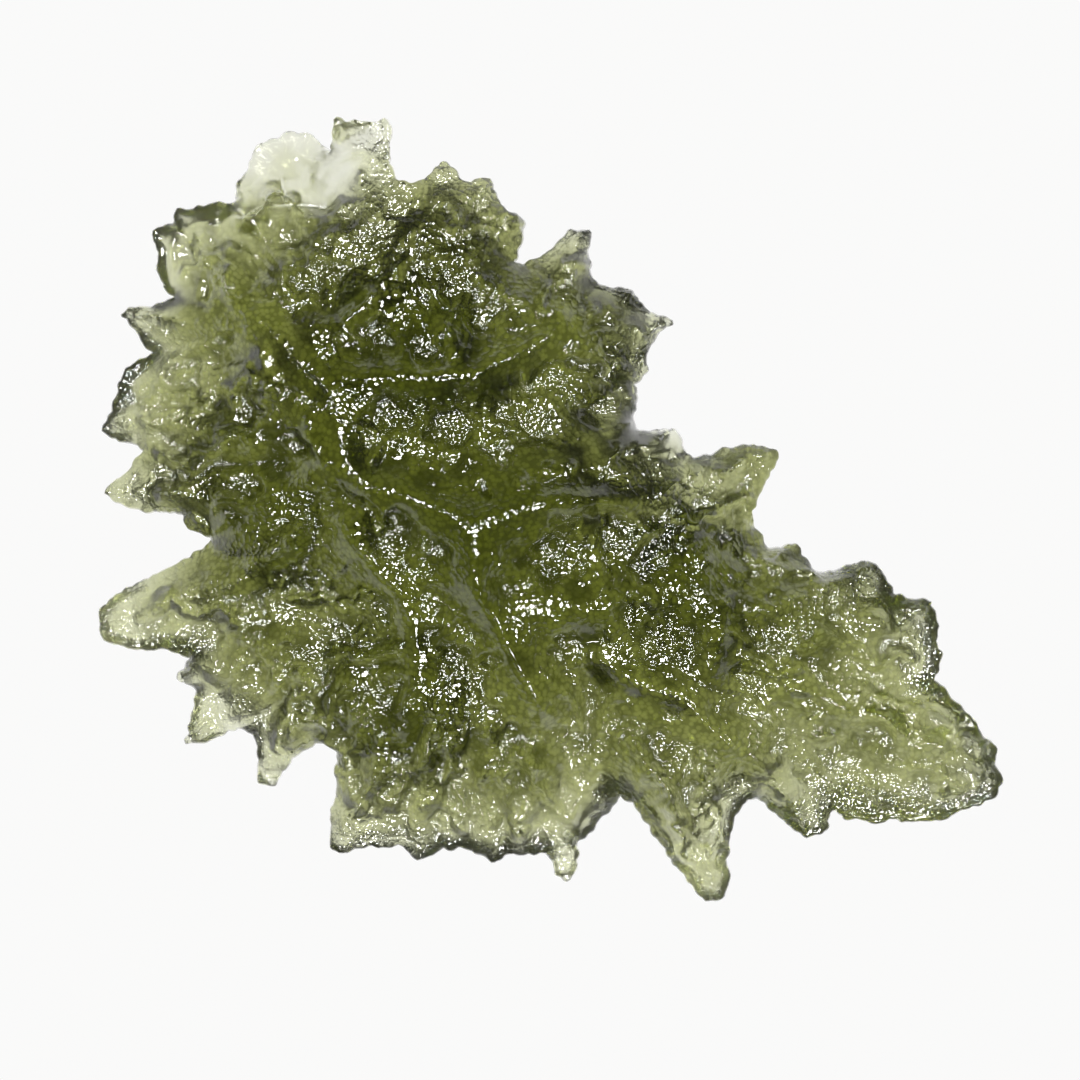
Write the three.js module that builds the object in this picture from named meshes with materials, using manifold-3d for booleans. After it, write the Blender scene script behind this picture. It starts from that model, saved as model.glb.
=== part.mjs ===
// A moldavite: one piece of green tektite glass, etched by the ground into a thorny, leaf-like stone.
// Millimetres, +Z up. The stone lies on its flatter side; the origin is under the middle of its box.
//
// The stone is a slab between two sheets. The upper sheet hangs from the crests, like cloth laid
// over ropes, so every ridge is sharp and every basin between ridges is round. The lower sheet is
// drawn down to the keels and is worn flat where it would go below the table. The outline, a ring
// of teeth, cuts the slab to shape.
import * as THREE from "three";
import { mergeVertices } from "three/addons/utils/BufferGeometryUtils.js";
import Module from "manifold-3d";

const PITCH = 0.55; // spacing of the facets' corners
const MARGIN = 1; // slab left around the teeth before it is cut
const TIP_BLUNTNESS = 0.4; // thickness of the glass right at the rim
const SPINE_BLUNTNESS = 0.6; // thickness of a tooth at its tip, measured on its spine
const THINNEST = 0.35; // no wall of the stone is thinner than this
const BASIN_SAG = 0.36; // curvature of the etched basins on top, 1/mm
const UNDER_SAG = 0.12; // curvature of the hollows underneath, 1/mm
const BELLY = 0.8; // height of the underside at the root of each tooth
const KEEL_CURVE = 1.5; // how late a tooth's underside starts to rise: 1 is a straight line
const SWEEPS = 900; // relaxation sweeps that settle each sheet
const START_HEIGHT = 4; // height of both sheets before they settle
const PRISM_FLOOR = -2; // the prism that cuts the outline starts here, below the stone
const PRISM_HEIGHT = 14; // and is this tall
const WELD = 1e-5; // corners closer than this are one corner

// The teeth, clockwise from the clear flag at the back. level is the height of a tooth's rim, spine
// runs along its back from root to tip as [x, y, z], and edge is its outline.
const TEETH = {
  clearFlag: {
    level: 5.3, spine: [[-6.3, 10.7, 5.7], [-6.6, 11.8, 5.4]],
    edge: [[-7.65, 13.05], [-7.5, 13.65], [-6.7, 13.6], [-5.8, 13.65], [-5.6, 13.4], [-5.6, 11.9],
      [-5.3, 11.55], [-4.85, 11.4]],
  },
  backLobe: {
    level: 4.9, spine: [[-4.6, 9.8, 5.9], [-3.8, 11.9, 5.1]],
    edge: [[-4.4, 11.6], [-4.05, 12], [-3.8, 12.15], [-3.15, 11.65], [-2.8, 11.45]],
  },
  backHook: {
    level: 4.9, spine: [[-3.5, 9.8, 6], [-2.7, 10.7, 5.5], [-2.2, 11.4, 5.1]],
    edge: [[-2.45, 11.65], [-2.15, 11.6], [-1.75, 10.7], [-1.35, 10.4]],
  },
  backCorner: {
    level: 4.7, spine: [[-2.8, 8.7, 6], [-1.1, 10, 5]],
    edge: [[-0.9, 10.15], [-1, 9.9], [-0.95, 9.55], [-1.2, 8.85], [-1.35, 8.6]],
  },
  thorn: {
    level: 4.4, spine: [[0.2, 6.2, 6.6], [0.6, 7.8, 5.5], [0.9, 9.2, 4.9], [1.1, 9.7, 4.6]],
    edge: [[-0.9, 8.6], [-0.3, 9], [0.65, 9.8], [1.35, 9.8], [1.3, 9.05], [1.35, 8.3], [1.55, 7.95]],
  },
  bluntTooth: {
    level: 4.3, spine: [[0.7, 6.3, 6.3], [1.9, 7.1, 5.3], [2.7, 7.6, 4.6]],
    edge: [[2.1, 7.85], [2.85, 7.75], [3.05, 7.3], [3.45, 6.9]],
  },
  rightThorn: {
    level: 4.5, spine: [[0.9, 5.8, 6.3], [2.6, 6.2, 5.4], [4, 6.5, 4.7]],
    edge: [[4, 6.8], [4.35, 6.65], [3.9, 6.25], [3.45, 5.85], [3.3, 5.5], [3.35, 5]],
  },
  rightCliff: {
    level: 4.4, spine: [[1.2, 4.3, 5.9], [2.7, 4.3, 4.9]],
    edge: [[3.1, 4.65], [2.9, 4.45], [3, 3.95], [2.85, 2.9]],
  },
  lowPaleTooth: {
    level: 4.2, spine: [[1.3, 0.8, 7.1], [2.2, 1.4, 6.3], [3, 2.1, 5.7], [4.1, 2.9, 4.8]],
    edge: [[3.1, 2.85], [3.7, 2.8], [4.25, 3], [4.4, 2.55], [4.95, 1.9]],
  },
  rightHorn: {
    level: 4.4, spine: [[3.1, 0.4, 6.6], [4.9, 1.1, 5.6], [6.2, 1.6, 5.1], [7.5, 2, 4.7]],
    edge: [[5.45, 1.95], [6.05, 2.2], [7.1, 2.35], [7.9, 2.1], [7.9, 1.65], [7.3, 0.6], [7.15, 0.05]],
  },
  lowChip: {
    level: 3.7, spine: [[6.6, -1.2, 4.4], [7.2, -1, 3.9]],
    edge: [[7.05, -0.5], [7.3, -0.8], [7.6, -1.3]],
  },
  sawTooth: {
    level: 3.7, spine: [[6.4, -2.2, 5.2], [8.4, -1.4, 4]],
    edge: [[8.1, -1.3], [8.6, -1.15], [8.8, -1.55], [9.4, -2.2]],
  },
  tailShoulder: {
    level: 3.8, spine: [[7.7, -3.5, 5.6], [9.8, -2.6, 4.8], [11.1, -2, 4.1]],
    edge: [[10, -2.1], [11.15, -1.8], [11.55, -2.05], [12.1, -2.95]],
  },
  tailCorner: {
    level: 3.6, spine: [[8.7, -4.8, 5.4], [11.5, -3.7, 4.6], [13.1, -3.4, 3.9]],
    edge: [[12.65, -3.15], [13.35, -3.15], [13.6, -4], [13.5, -4.55], [13.7, -5], [13.5, -5.85]],
  },
  tail: {
    level: 3.2, spine: [[8.4, -6.2, 5.2], [11.5, -7.3, 4.5], [14, -8.5, 4], [15.4, -9.2, 3.5]],
    edge: [[13.7, -6.2], [14.7, -7.25], [15.65, -8.3], [15.6, -8.9], [15.8, -9.5], [15.6, -10],
      [15.05, -10.3], [13.65, -10.8], [12.1, -10.8], [11.25, -10.9], [10.3, -10.8], [10, -10.5]],
  },
  glassChip: {
    level: 3.3, spine: [[6.4, -8.2, 5.2], [7.8, -9.4, 4.3], [8.9, -11, 3.5]],
    edge: [[9.8, -10.6], [9.65, -11.2], [8.95, -11.5], [8.25, -10.85], [7.3, -10.1]],
  },
  frontFang: {
    level: 3.7, spine: [[2.8, -8, 5.6], [4.3, -10.4, 4.8], [5.4, -12.5, 4.1], [5.6, -13.3, 3.9]],
    edge: [[7, -10.05], [6.7, -10.25], [6.4, -10.75], [6.15, -12.2], [6.2, -12.95], [5.9, -13.65],
      [5.45, -13.65], [4.9, -12.95], [3.95, -11.85], [3.15, -10.55], [2.4, -9.9]],
  },
  lowClearTooth: {
    level: 3,
    spine: [[2.3, -8.4, 4.8], [1.6, -9.1, 4.3], [1, -9.8, 3.9], [0.6, -11.1, 3.5], [0.5, -12.6, 3.1]],
    edge: [[2.05, -10.5], [1.35, -11.3], [0.9, -11.65], [0.9, -12.65], [0.6, -12.9], [0.2, -12.75],
      [0.05, -12.25]],
  },
  frontSawEdge: {
    level: 3.3, spine: [[-0.6, -8.7, 5.3], [-0.8, -10.6, 4.1], [-1, -11.7, 3.5]],
    edge: [[-0.2, -12], [-1.3, -12], [-1.7, -12.05]],
  },
  frontBarb: {
    level: 3.2, spine: [[-2.1, -7.6, 5.6], [-2.2, -10.1, 4.3], [-2.1, -11.8, 3.4]],
    edge: [[-2.05, -12.3], [-2.7, -11.9], [-3.75, -11.8]],
  },
  frontDoubleBarb: {
    level: 3.4, spine: [[-3.9, -6.6, 5.8], [-4.2, -9.7, 4.5], [-4.6, -11.8, 3.6]],
    edge: [[-4.15, -12.1], [-4.65, -12.25], [-5.15, -11.75], [-5.35, -11.65]],
  },
  frontCorner: {
    level: 3.3, spine: [[-4.6, -5.9, 5.9], [-6.2, -9, 4.7], [-7.3, -11.4, 3.6]],
    edge: [[-5.65, -11.85], [-6.25, -11.75], [-7.4, -11.95], [-7.65, -11.8], [-7.75, -11.2],
      [-7.5, -10], [-7.65, -9.15], [-7.55, -8.5], [-8, -8.1]],
  },
  leftFang: {
    level: 3, spine: [[-7, -5.9, 5.2], [-8.9, -7.6, 4.1], [-10, -9.1, 3.2]],
    edge: [[-9.1, -8.75], [-9.75, -9.55], [-10.25, -9.5], [-10.3, -8.3], [-10.7, -7.65]],
  },
  windowLobe: {
    level: 3.1, spine: [[-8.8, -5.6, 4.9], [-11, -6.6, 3.8], [-12.5, -7.8, 3.3]],
    edge: [[-11.35, -7.7], [-12.8, -8.1], [-12.45, -6.8], [-12.45, -6.3]],
  },
  smallBeak: {
    level: 3.3, spine: [[-9.1, -4.5, 5.3], [-11.6, -5.3, 4.2], [-12.8, -5.8, 3.5]],
    edge: [[-12.8, -6.05], [-13.1, -5.8], [-12.65, -5.15]],
  },
  longTongue: {
    level: 3.6, spine: [[-9.1, -1.1, 6.4], [-10.3, -2.1, 5.6], [-12.6, -2.9, 4.7], [-15.2, -3.7, 3.9]],
    edge: [[-13, -4.95], [-14.75, -4.8], [-15.35, -4.65], [-15.75, -4.3], [-15.8, -3.75], [-15.7, -3.3],
      [-15.3, -3], [-13.8, -2.2], [-13.05, -1.85], [-12.35, -1.3], [-11.95, -0.95]],
  },
  leftBeak: {
    level: 3.8, spine: [[-9.8, 0.2, 6.1], [-12.3, 0.5, 5], [-15.2, 0.7, 4]],
    edge: [[-12.25, -0.8], [-12.75, -0.5], [-13.3, 0], [-14.55, 0.05], [-15.3, 0.3], [-15.65, 0.65],
      [-15.2, 1.1], [-14.6, 1.7], [-14.2, 2.2]],
  },
  leftLobe: {
    level: 3.3, spine: [[-10.4, 2.5, 5.8], [-12.8, 3, 4.5], [-15.2, 3.2, 3.6]],
    edge: [[-14.9, 2.45], [-15.75, 2.85], [-15.3, 3.9], [-15.15, 4.55], [-14.9, 5], [-14.35, 5.3],
      [-13.9, 5.55]],
  },
  leftBarb: {
    level: 3.4, spine: [[-10.6, 6.4, 5.8], [-12.8, 6.7, 4.5], [-14.5, 6.9, 3.6]],
    edge: [[-14.3, 5.85], [-14.75, 6.65], [-15.1, 6.9], [-14.8, 7.1], [-13.5, 7.25]],
  },
  paleLobe: {
    level: 3.3, spine: [[-10.8, 7.3, 5.9], [-11.9, 8.7, 4.6], [-13.3, 9.9, 3.6]],
    edge: [[-13.25, 7.55], [-13.85, 8.5], [-13.8, 9.15], [-13.95, 9.8], [-13.25, 10.25], [-13.1, 10.6],
      [-11.85, 10.8], [-11.15, 10.75]],
  },
  lowPetal: {
    level: 2, spine: [[-9.4, 10.9, 3], [-9.4, 12.8, 2.3]],
    edge: [[-11, 11.05], [-11.2, 11.5], [-10.7, 12], [-10.55, 12.65], [-9.85, 13.2], [-9.1, 13.4],
      [-8.45, 13.25], [-8, 12.95], [-7.75, 12.6]],
  },
};

// The crests that join the teeth over the top of the stone, each a line of [x, y, z].
const CRESTS = [
  // long ridge, upper part
  [[-10.6, 6.8, 6.3], [-9.5, 6.1, 6.6], [-8.2, 4.6, 7.05], [-7.3, 3, 7.3], [-7, 1.6, 7.5], [-6.7, 1, 7.6]],
  [[-6.7, 1, 7.6], [-5.3, 0.6, 7.8], [-3.8, 0.1, 8], [-2.8, -0.5, 8.2]], // long ridge, lower part
  [[-2.8, -0.5, 8.2], [-1.3, 0, 8.15], [0.4, 0.3, 8], [2.1, 0.3, 7.3], [3.1, 0.4, 6.6]], // east ridge
  // north ridge
  [[-7.5, 4.6, 7.2], [-5.1, 4.6, 7.5], [-2.9, 4.6, 7.4], [-1.3, 5.3, 7.1], [0.2, 6.2, 6.6], [0.7, 6.3, 6.3]],
  // south ridge
  [[-2.8, -0.5, 8.2], [-2.6, -2.3, 7.9], [-1.9, -3.9, 7.3], [-1, -5.8, 6.7], [-0.3, -7, 6.1]],
  [[-1, -3.6, 7.05], [-0.2, -3.3, 7.15], [0.9, -3.3, 7.1], [2, -3.4, 6.9]], // short crest
  [[1.7, -5.2, 6.4], [2.8, -5.9, 6.45], [4.2, -6.4, 6.25], [6.4, -8.2, 5.4]], // tail ridge
  [[5.4, -2.7, 6.3], [5.7, -3.5, 6.3], [6, -4.4, 6.2], [5.8, -5, 6.1], [5.6, -5.5, 6]], // hooked crest
  // saddle to the hooked crest
  [[2, -3.4, 7], [3.6, -3, 6.6], [5.4, -2.7, 6.3], [6.6, -3.1, 6], [7.7, -3.5, 5.6]],
  [[-7.1, -0.5, 7], [-6.4, -1.6, 6.9], [-5.3, -2.7, 6.7], [-4.6, -5.9, 5.9]], // west rib
  [[-9.8, 0.2, 6.1], [-8.7, -0.6, 6.5], [-7.1, -0.5, 7], [-6.2, 0.8, 7.7]], // west saddle
  // shoulder of the long ridge
  [[-11.4, 8.3, 5.7], [-10.3, 5.8, 6.3], [-8.8, 3.5, 6.8], [-7.3, 1.3, 7.35]],
  [[-4.9, 9.8, 6], [-5.4, 8.2, 6.4], [-6.8, 6.6, 6.7], [-8, 4.4, 7.1]], // back plate
  [[-10.9, 10.1, 4.2], [-10.7, 9.2, 4.9], [-10.4, 7.8, 5.6], [-9.8, 6.8, 6.2]], // pale lobe wall
  // back ledge
  [[-10.7, 10.2, 4.6], [-9.7, 10.7, 4.9], [-8.5, 10.4, 5.1], [-7.2, 10.4, 5.5], [-5.9, 10.5, 5.9]],
  [[0, 3.7, 6.2], [1, 2.8, 6.2], [2.1, 2.9, 5.8], [2.7, 3, 5.4]], // bowl lip
];

// Step where the low petal comes out from under the back ledge.
const PETAL_ROOT = [[-10.9, 10.4, 2.8], [-10.1, 10.8, 3], [-9, 10.7, 3.1], [-7.9, 10.7, 3.1]];

// The keels that run along the underside.
const KEELS = [
  [[-5.3, 5.8, 0.5], [-3.2, 2.2, 0.8], [-0.8, -0.4, 0.7], [4.6, -2.2, 0.5], [8.5, -4.5, 1]],
  [[-9.8, 0.6, 0.6], [-5.5, 0.4, 0.8], [-0.8, -0.4, 0.7]],
  [[-0.8, -0.4, 0.7], [-3.4, -3.4, 0.8], [-5.6, -6.4, 0.5]],
];

// The underside swells into a low hump at each foot, and the top of the hump is worn flat.
const FEET = [[-5.3, 5.8], [-5.6, -6.4], [4.6, -2.2], [-9.8, 0.6]];
const FLAT_RADIUS = 0.95;
const HUMP_RADIUS = 3.6;
const HUMP_HEIGHT = 0.6; // depth of the hump below the hollows around it

const OUTLINE = Object.values(TEETH).flatMap((tooth) => tooth.edge.map(([x, y]) => [x, y, tooth.level]));
const FIRST_X = Math.min(...OUTLINE.map(([x]) => x)) - MARGIN;
const FIRST_Y = Math.min(...OUTLINE.map(([, y]) => y)) - MARGIN;
const COLUMNS = Math.ceil((Math.max(...OUTLINE.map(([x]) => x)) + MARGIN - FIRST_X) / PITCH) + 1;
const ROWS = Math.ceil((Math.max(...OUTLINE.map(([, y]) => y)) + MARGIN - FIRST_Y) / PITCH) + 1;

// The nearest facet corner to a place on the slab.
function cornerAt(x, y) {
  const column = Math.round((x - FIRST_X) / PITCH);
  const row = Math.round((y - FIRST_Y) / PITCH);
  return row * COLUMNS + column;
}

// Calls visit(corner, z) for every corner along a line of [x, y, z].
function alongLine(line, visit) {
  for (let i = 1; i < line.length; i += 1) {
    const start = new THREE.Vector3(...line[i - 1]);
    const end = new THREE.Vector3(...line[i]);
    const steps = Math.ceil(start.distanceTo(end) / (PITCH / 3));
    for (let step = 0; step <= steps; step += 1) {
      const point = start.clone().lerp(end, step / steps);
      visit(cornerAt(point.x, point.y), point.z);
    }
  }
}

// The underside of a tooth: under the same line, from the belly at its root up to its tip.
function keelOf(tooth) {
  const last = tooth.spine.length - 1;
  const tip = tooth.spine[last][2] - SPINE_BLUNTNESS;
  return tooth.spine.map(([x, y], i) => [x, y, THREE.MathUtils.lerp(BELLY, tip, (i / last) ** KEEL_CURVE)]);
}

// How far a place on the slab is from the middle of the nearest foot.
function distanceToFoot(x, y) {
  return Math.min(...FEET.map(([footX, footY]) => Math.hypot(x - footX, y - footY)));
}

// Settles a sheet that is held at the fixed corners and sags by the given curvature elsewhere.
function settle(fixed, sag) {
  const heights = new Float64Array(COLUMNS * ROWS).fill(START_HEIGHT);
  fixed.forEach((z, corner) => {
    heights[corner] = z;
  });
  const pull = sag * PITCH * PITCH;
  for (let sweep = 0; sweep < SWEEPS; sweep += 1) {
    for (let row = 0; row < ROWS; row += 1) {
      for (let column = 0; column < COLUMNS; column += 1) {
        const corner = row * COLUMNS + column;
        if (fixed.has(corner)) continue;
        const west = heights[corner - (column > 0 ? 1 : -1)];
        const east = heights[corner + (column < COLUMNS - 1 ? 1 : -1)];
        const south = heights[corner - (row > 0 ? COLUMNS : -COLUMNS)];
        const north = heights[corner + (row < ROWS - 1 ? COLUMNS : -COLUMNS)];
        heights[corner] = (west + east + south + north - pull) / 4;
      }
    }
  }
  return heights;
}

// The upper sheet: the rim, the spines of the teeth and the crests hold it up.
function upperSheet() {
  const fixed = new Map();
  const hold = (corner, z) => fixed.set(corner, z);
  alongLine([...OUTLINE, OUTLINE[0]], hold);
  alongLine(PETAL_ROOT, hold);
  const holdHigher = (corner, z) => fixed.set(corner, Math.max(z, fixed.get(corner) ?? 0));
  Object.values(TEETH).forEach((tooth) => alongLine(tooth.spine, holdHigher));
  CRESTS.forEach((crest) => alongLine(crest, holdHigher));
  return settle(fixed, BASIN_SAG);
}

// The lower sheet: the rim, the undersides of the teeth, the keels and the worn feet hold it down.
function lowerSheet() {
  const fixed = new Map();
  alongLine([...OUTLINE, OUTLINE[0]], (corner, z) => fixed.set(corner, z - TIP_BLUNTNESS));
  const holdLower = (corner, z) => fixed.set(corner, Math.min(z, fixed.get(corner) ?? z));
  Object.values(TEETH).forEach((tooth) => alongLine(keelOf(tooth), holdLower));
  KEELS.forEach((keel) => alongLine(keel, holdLower));
  for (let row = 0; row < ROWS; row += 1) {
    for (let column = 0; column < COLUMNS; column += 1) {
      const away = distanceToFoot(FIRST_X + column * PITCH, FIRST_Y + row * PITCH);
      const rise = HUMP_HEIGHT * THREE.MathUtils.smoothstep(away, FLAT_RADIUS, HUMP_RADIUS);
      if (away < HUMP_RADIUS) holdLower(row * COLUMNS + column, rise);
    }
  }
  return settle(fixed, -UNDER_SAG);
}

// A closed slab between the two sheets.
function slab(upper, lower) {
  const positions = [];
  const index = [];
  const count = COLUMNS * ROWS;
  for (let corner = 0; corner < count; corner += 1) {
    const x = FIRST_X + (corner % COLUMNS) * PITCH;
    const y = FIRST_Y + Math.floor(corner / COLUMNS) * PITCH;
    positions.push(x, y, upper[corner]);
  }
  for (let corner = 0; corner < count; corner += 1) {
    const bottom = Math.max(0, Math.min(lower[corner], upper[corner] - THINNEST));
    positions.push(positions[corner * 3], positions[corner * 3 + 1], bottom);
  }
  for (let row = 1; row < ROWS; row += 1) {
    for (let column = 1; column < COLUMNS; column += 1) {
      const c = row * COLUMNS + column;
      const b = c - 1;
      const d = c - COLUMNS;
      const a = d - 1;
      index.push(a, d, c, a, c, b);
      index.push(a + count, c + count, d + count, a + count, b + count, c + count);
    }
  }
  const ring = slabRing();
  ring.forEach((corner, i) => {
    const next = ring[(i + 1) % ring.length];
    index.push(corner + count, next + count, next, corner + count, next, corner);
  });
  const geometry = new THREE.BufferGeometry();
  geometry.setAttribute("position", new THREE.Float32BufferAttribute(positions, 3));
  geometry.setIndex(index);
  return geometry;
}

// The corners around the slab's edge, counter-clockwise seen from above.
function slabRing() {
  const ring = [];
  for (let column = 0; column < COLUMNS - 1; column += 1) ring.push(column);
  for (let row = 0; row < ROWS - 1; row += 1) ring.push(row * COLUMNS + COLUMNS - 1);
  for (let column = COLUMNS - 1; column > 0; column -= 1) ring.push((ROWS - 1) * COLUMNS + column);
  for (let row = ROWS - 1; row > 0; row -= 1) ring.push(row * COLUMNS);
  return ring;
}

// The ring of teeth as an upright prism, taller than the stone.
function toothedPrism() {
  const shape = new THREE.Shape(OUTLINE.map(([x, y]) => new THREE.Vector2(x, y)));
  const geometry = new THREE.ExtrudeGeometry(shape, { depth: PRISM_HEIGHT, bevelEnabled: false });
  geometry.translate(0, 0, PRISM_FLOOR);
  return geometry;
}

const wasm = await Module();
wasm.setup();

// A closed three.js geometry as a solid that can be cut.
function solidOf(geometry) {
  geometry.deleteAttribute("normal");
  geometry.deleteAttribute("uv");
  const merged = mergeVertices(geometry, WELD);
  const vertProperties = new Float32Array(merged.attributes.position.array);
  const triVerts = new Uint32Array(merged.index.array);
  return new wasm.Manifold(new wasm.Mesh({ numProp: 3, vertProperties, triVerts }));
}

// A solid back as a three.js geometry.
function geometryOf(solid) {
  const mesh = solid.getMesh();
  const geometry = new THREE.BufferGeometry();
  geometry.setAttribute("position", new THREE.BufferAttribute(new Float32Array(mesh.vertProperties), 3));
  geometry.setIndex(new THREE.BufferAttribute(new Uint32Array(mesh.triVerts), 1));
  return geometry;
}

const blank = solidOf(slab(upperSheet(), lowerSheet()));
const stone = blank.intersect(solidOf(toothedPrism()));

const glass = new THREE.MeshStandardMaterial({ color: 0x6f8a33, roughness: 0.25, metalness: 0 });
const moldavite = new THREE.Mesh(geometryOf(stone), glass);
moldavite.name = "moldavite";

const group = new THREE.Group();
group.add(moldavite);
export default group;
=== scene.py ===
"""A moldavite: one thorny, leaf-like piece of green tektite glass, etched by the ground.

The stone is knotted from one square net. The upper face hangs from sharp crests like cloth laid
over ropes, the lower face is drawn down to keels and four worn feet, and the outline is a ring of
teeth. Etching then cuts cups, flutes and pits into both faces. Sizes are in millimetres until the
mesh is made; Blender and the frame use metres.
"""
import logging
import math
from dataclasses import dataclass, field
from enum import Enum

import bmesh
import bpy
import numpy as np
from mathutils import Matrix, Vector


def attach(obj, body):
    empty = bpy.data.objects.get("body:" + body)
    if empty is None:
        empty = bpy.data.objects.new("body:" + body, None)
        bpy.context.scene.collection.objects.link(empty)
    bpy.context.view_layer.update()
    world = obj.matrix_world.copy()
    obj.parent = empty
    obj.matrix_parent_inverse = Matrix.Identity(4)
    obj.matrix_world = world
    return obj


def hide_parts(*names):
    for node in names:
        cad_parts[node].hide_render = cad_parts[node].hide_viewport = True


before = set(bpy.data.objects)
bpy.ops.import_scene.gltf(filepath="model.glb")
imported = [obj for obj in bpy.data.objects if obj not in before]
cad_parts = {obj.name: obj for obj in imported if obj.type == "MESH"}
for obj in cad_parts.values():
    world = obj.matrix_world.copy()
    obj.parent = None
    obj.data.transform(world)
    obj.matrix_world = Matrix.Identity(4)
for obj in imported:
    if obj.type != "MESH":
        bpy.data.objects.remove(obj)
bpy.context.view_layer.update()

LOG = logging.getLogger("moldavite")
MM = 0.001

Point = tuple[float, ...]
Line = tuple[Point, ...]
Field = np.ndarray


class Face(Enum):
    """The two faces of the stone."""

    UPPER = 1
    UNDER = -1


@dataclass(frozen=True)
class Tooth:
    """One tooth of the rim: the height of its edge, its outline and the line along its back."""

    level: float
    edge: Line
    spine: Line


@dataclass(frozen=True)
class Cup:
    """A round hollow that etching left: a steep wall around a level, pitted floor."""

    x: float
    y: float
    radius: float
    depth: float


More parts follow.
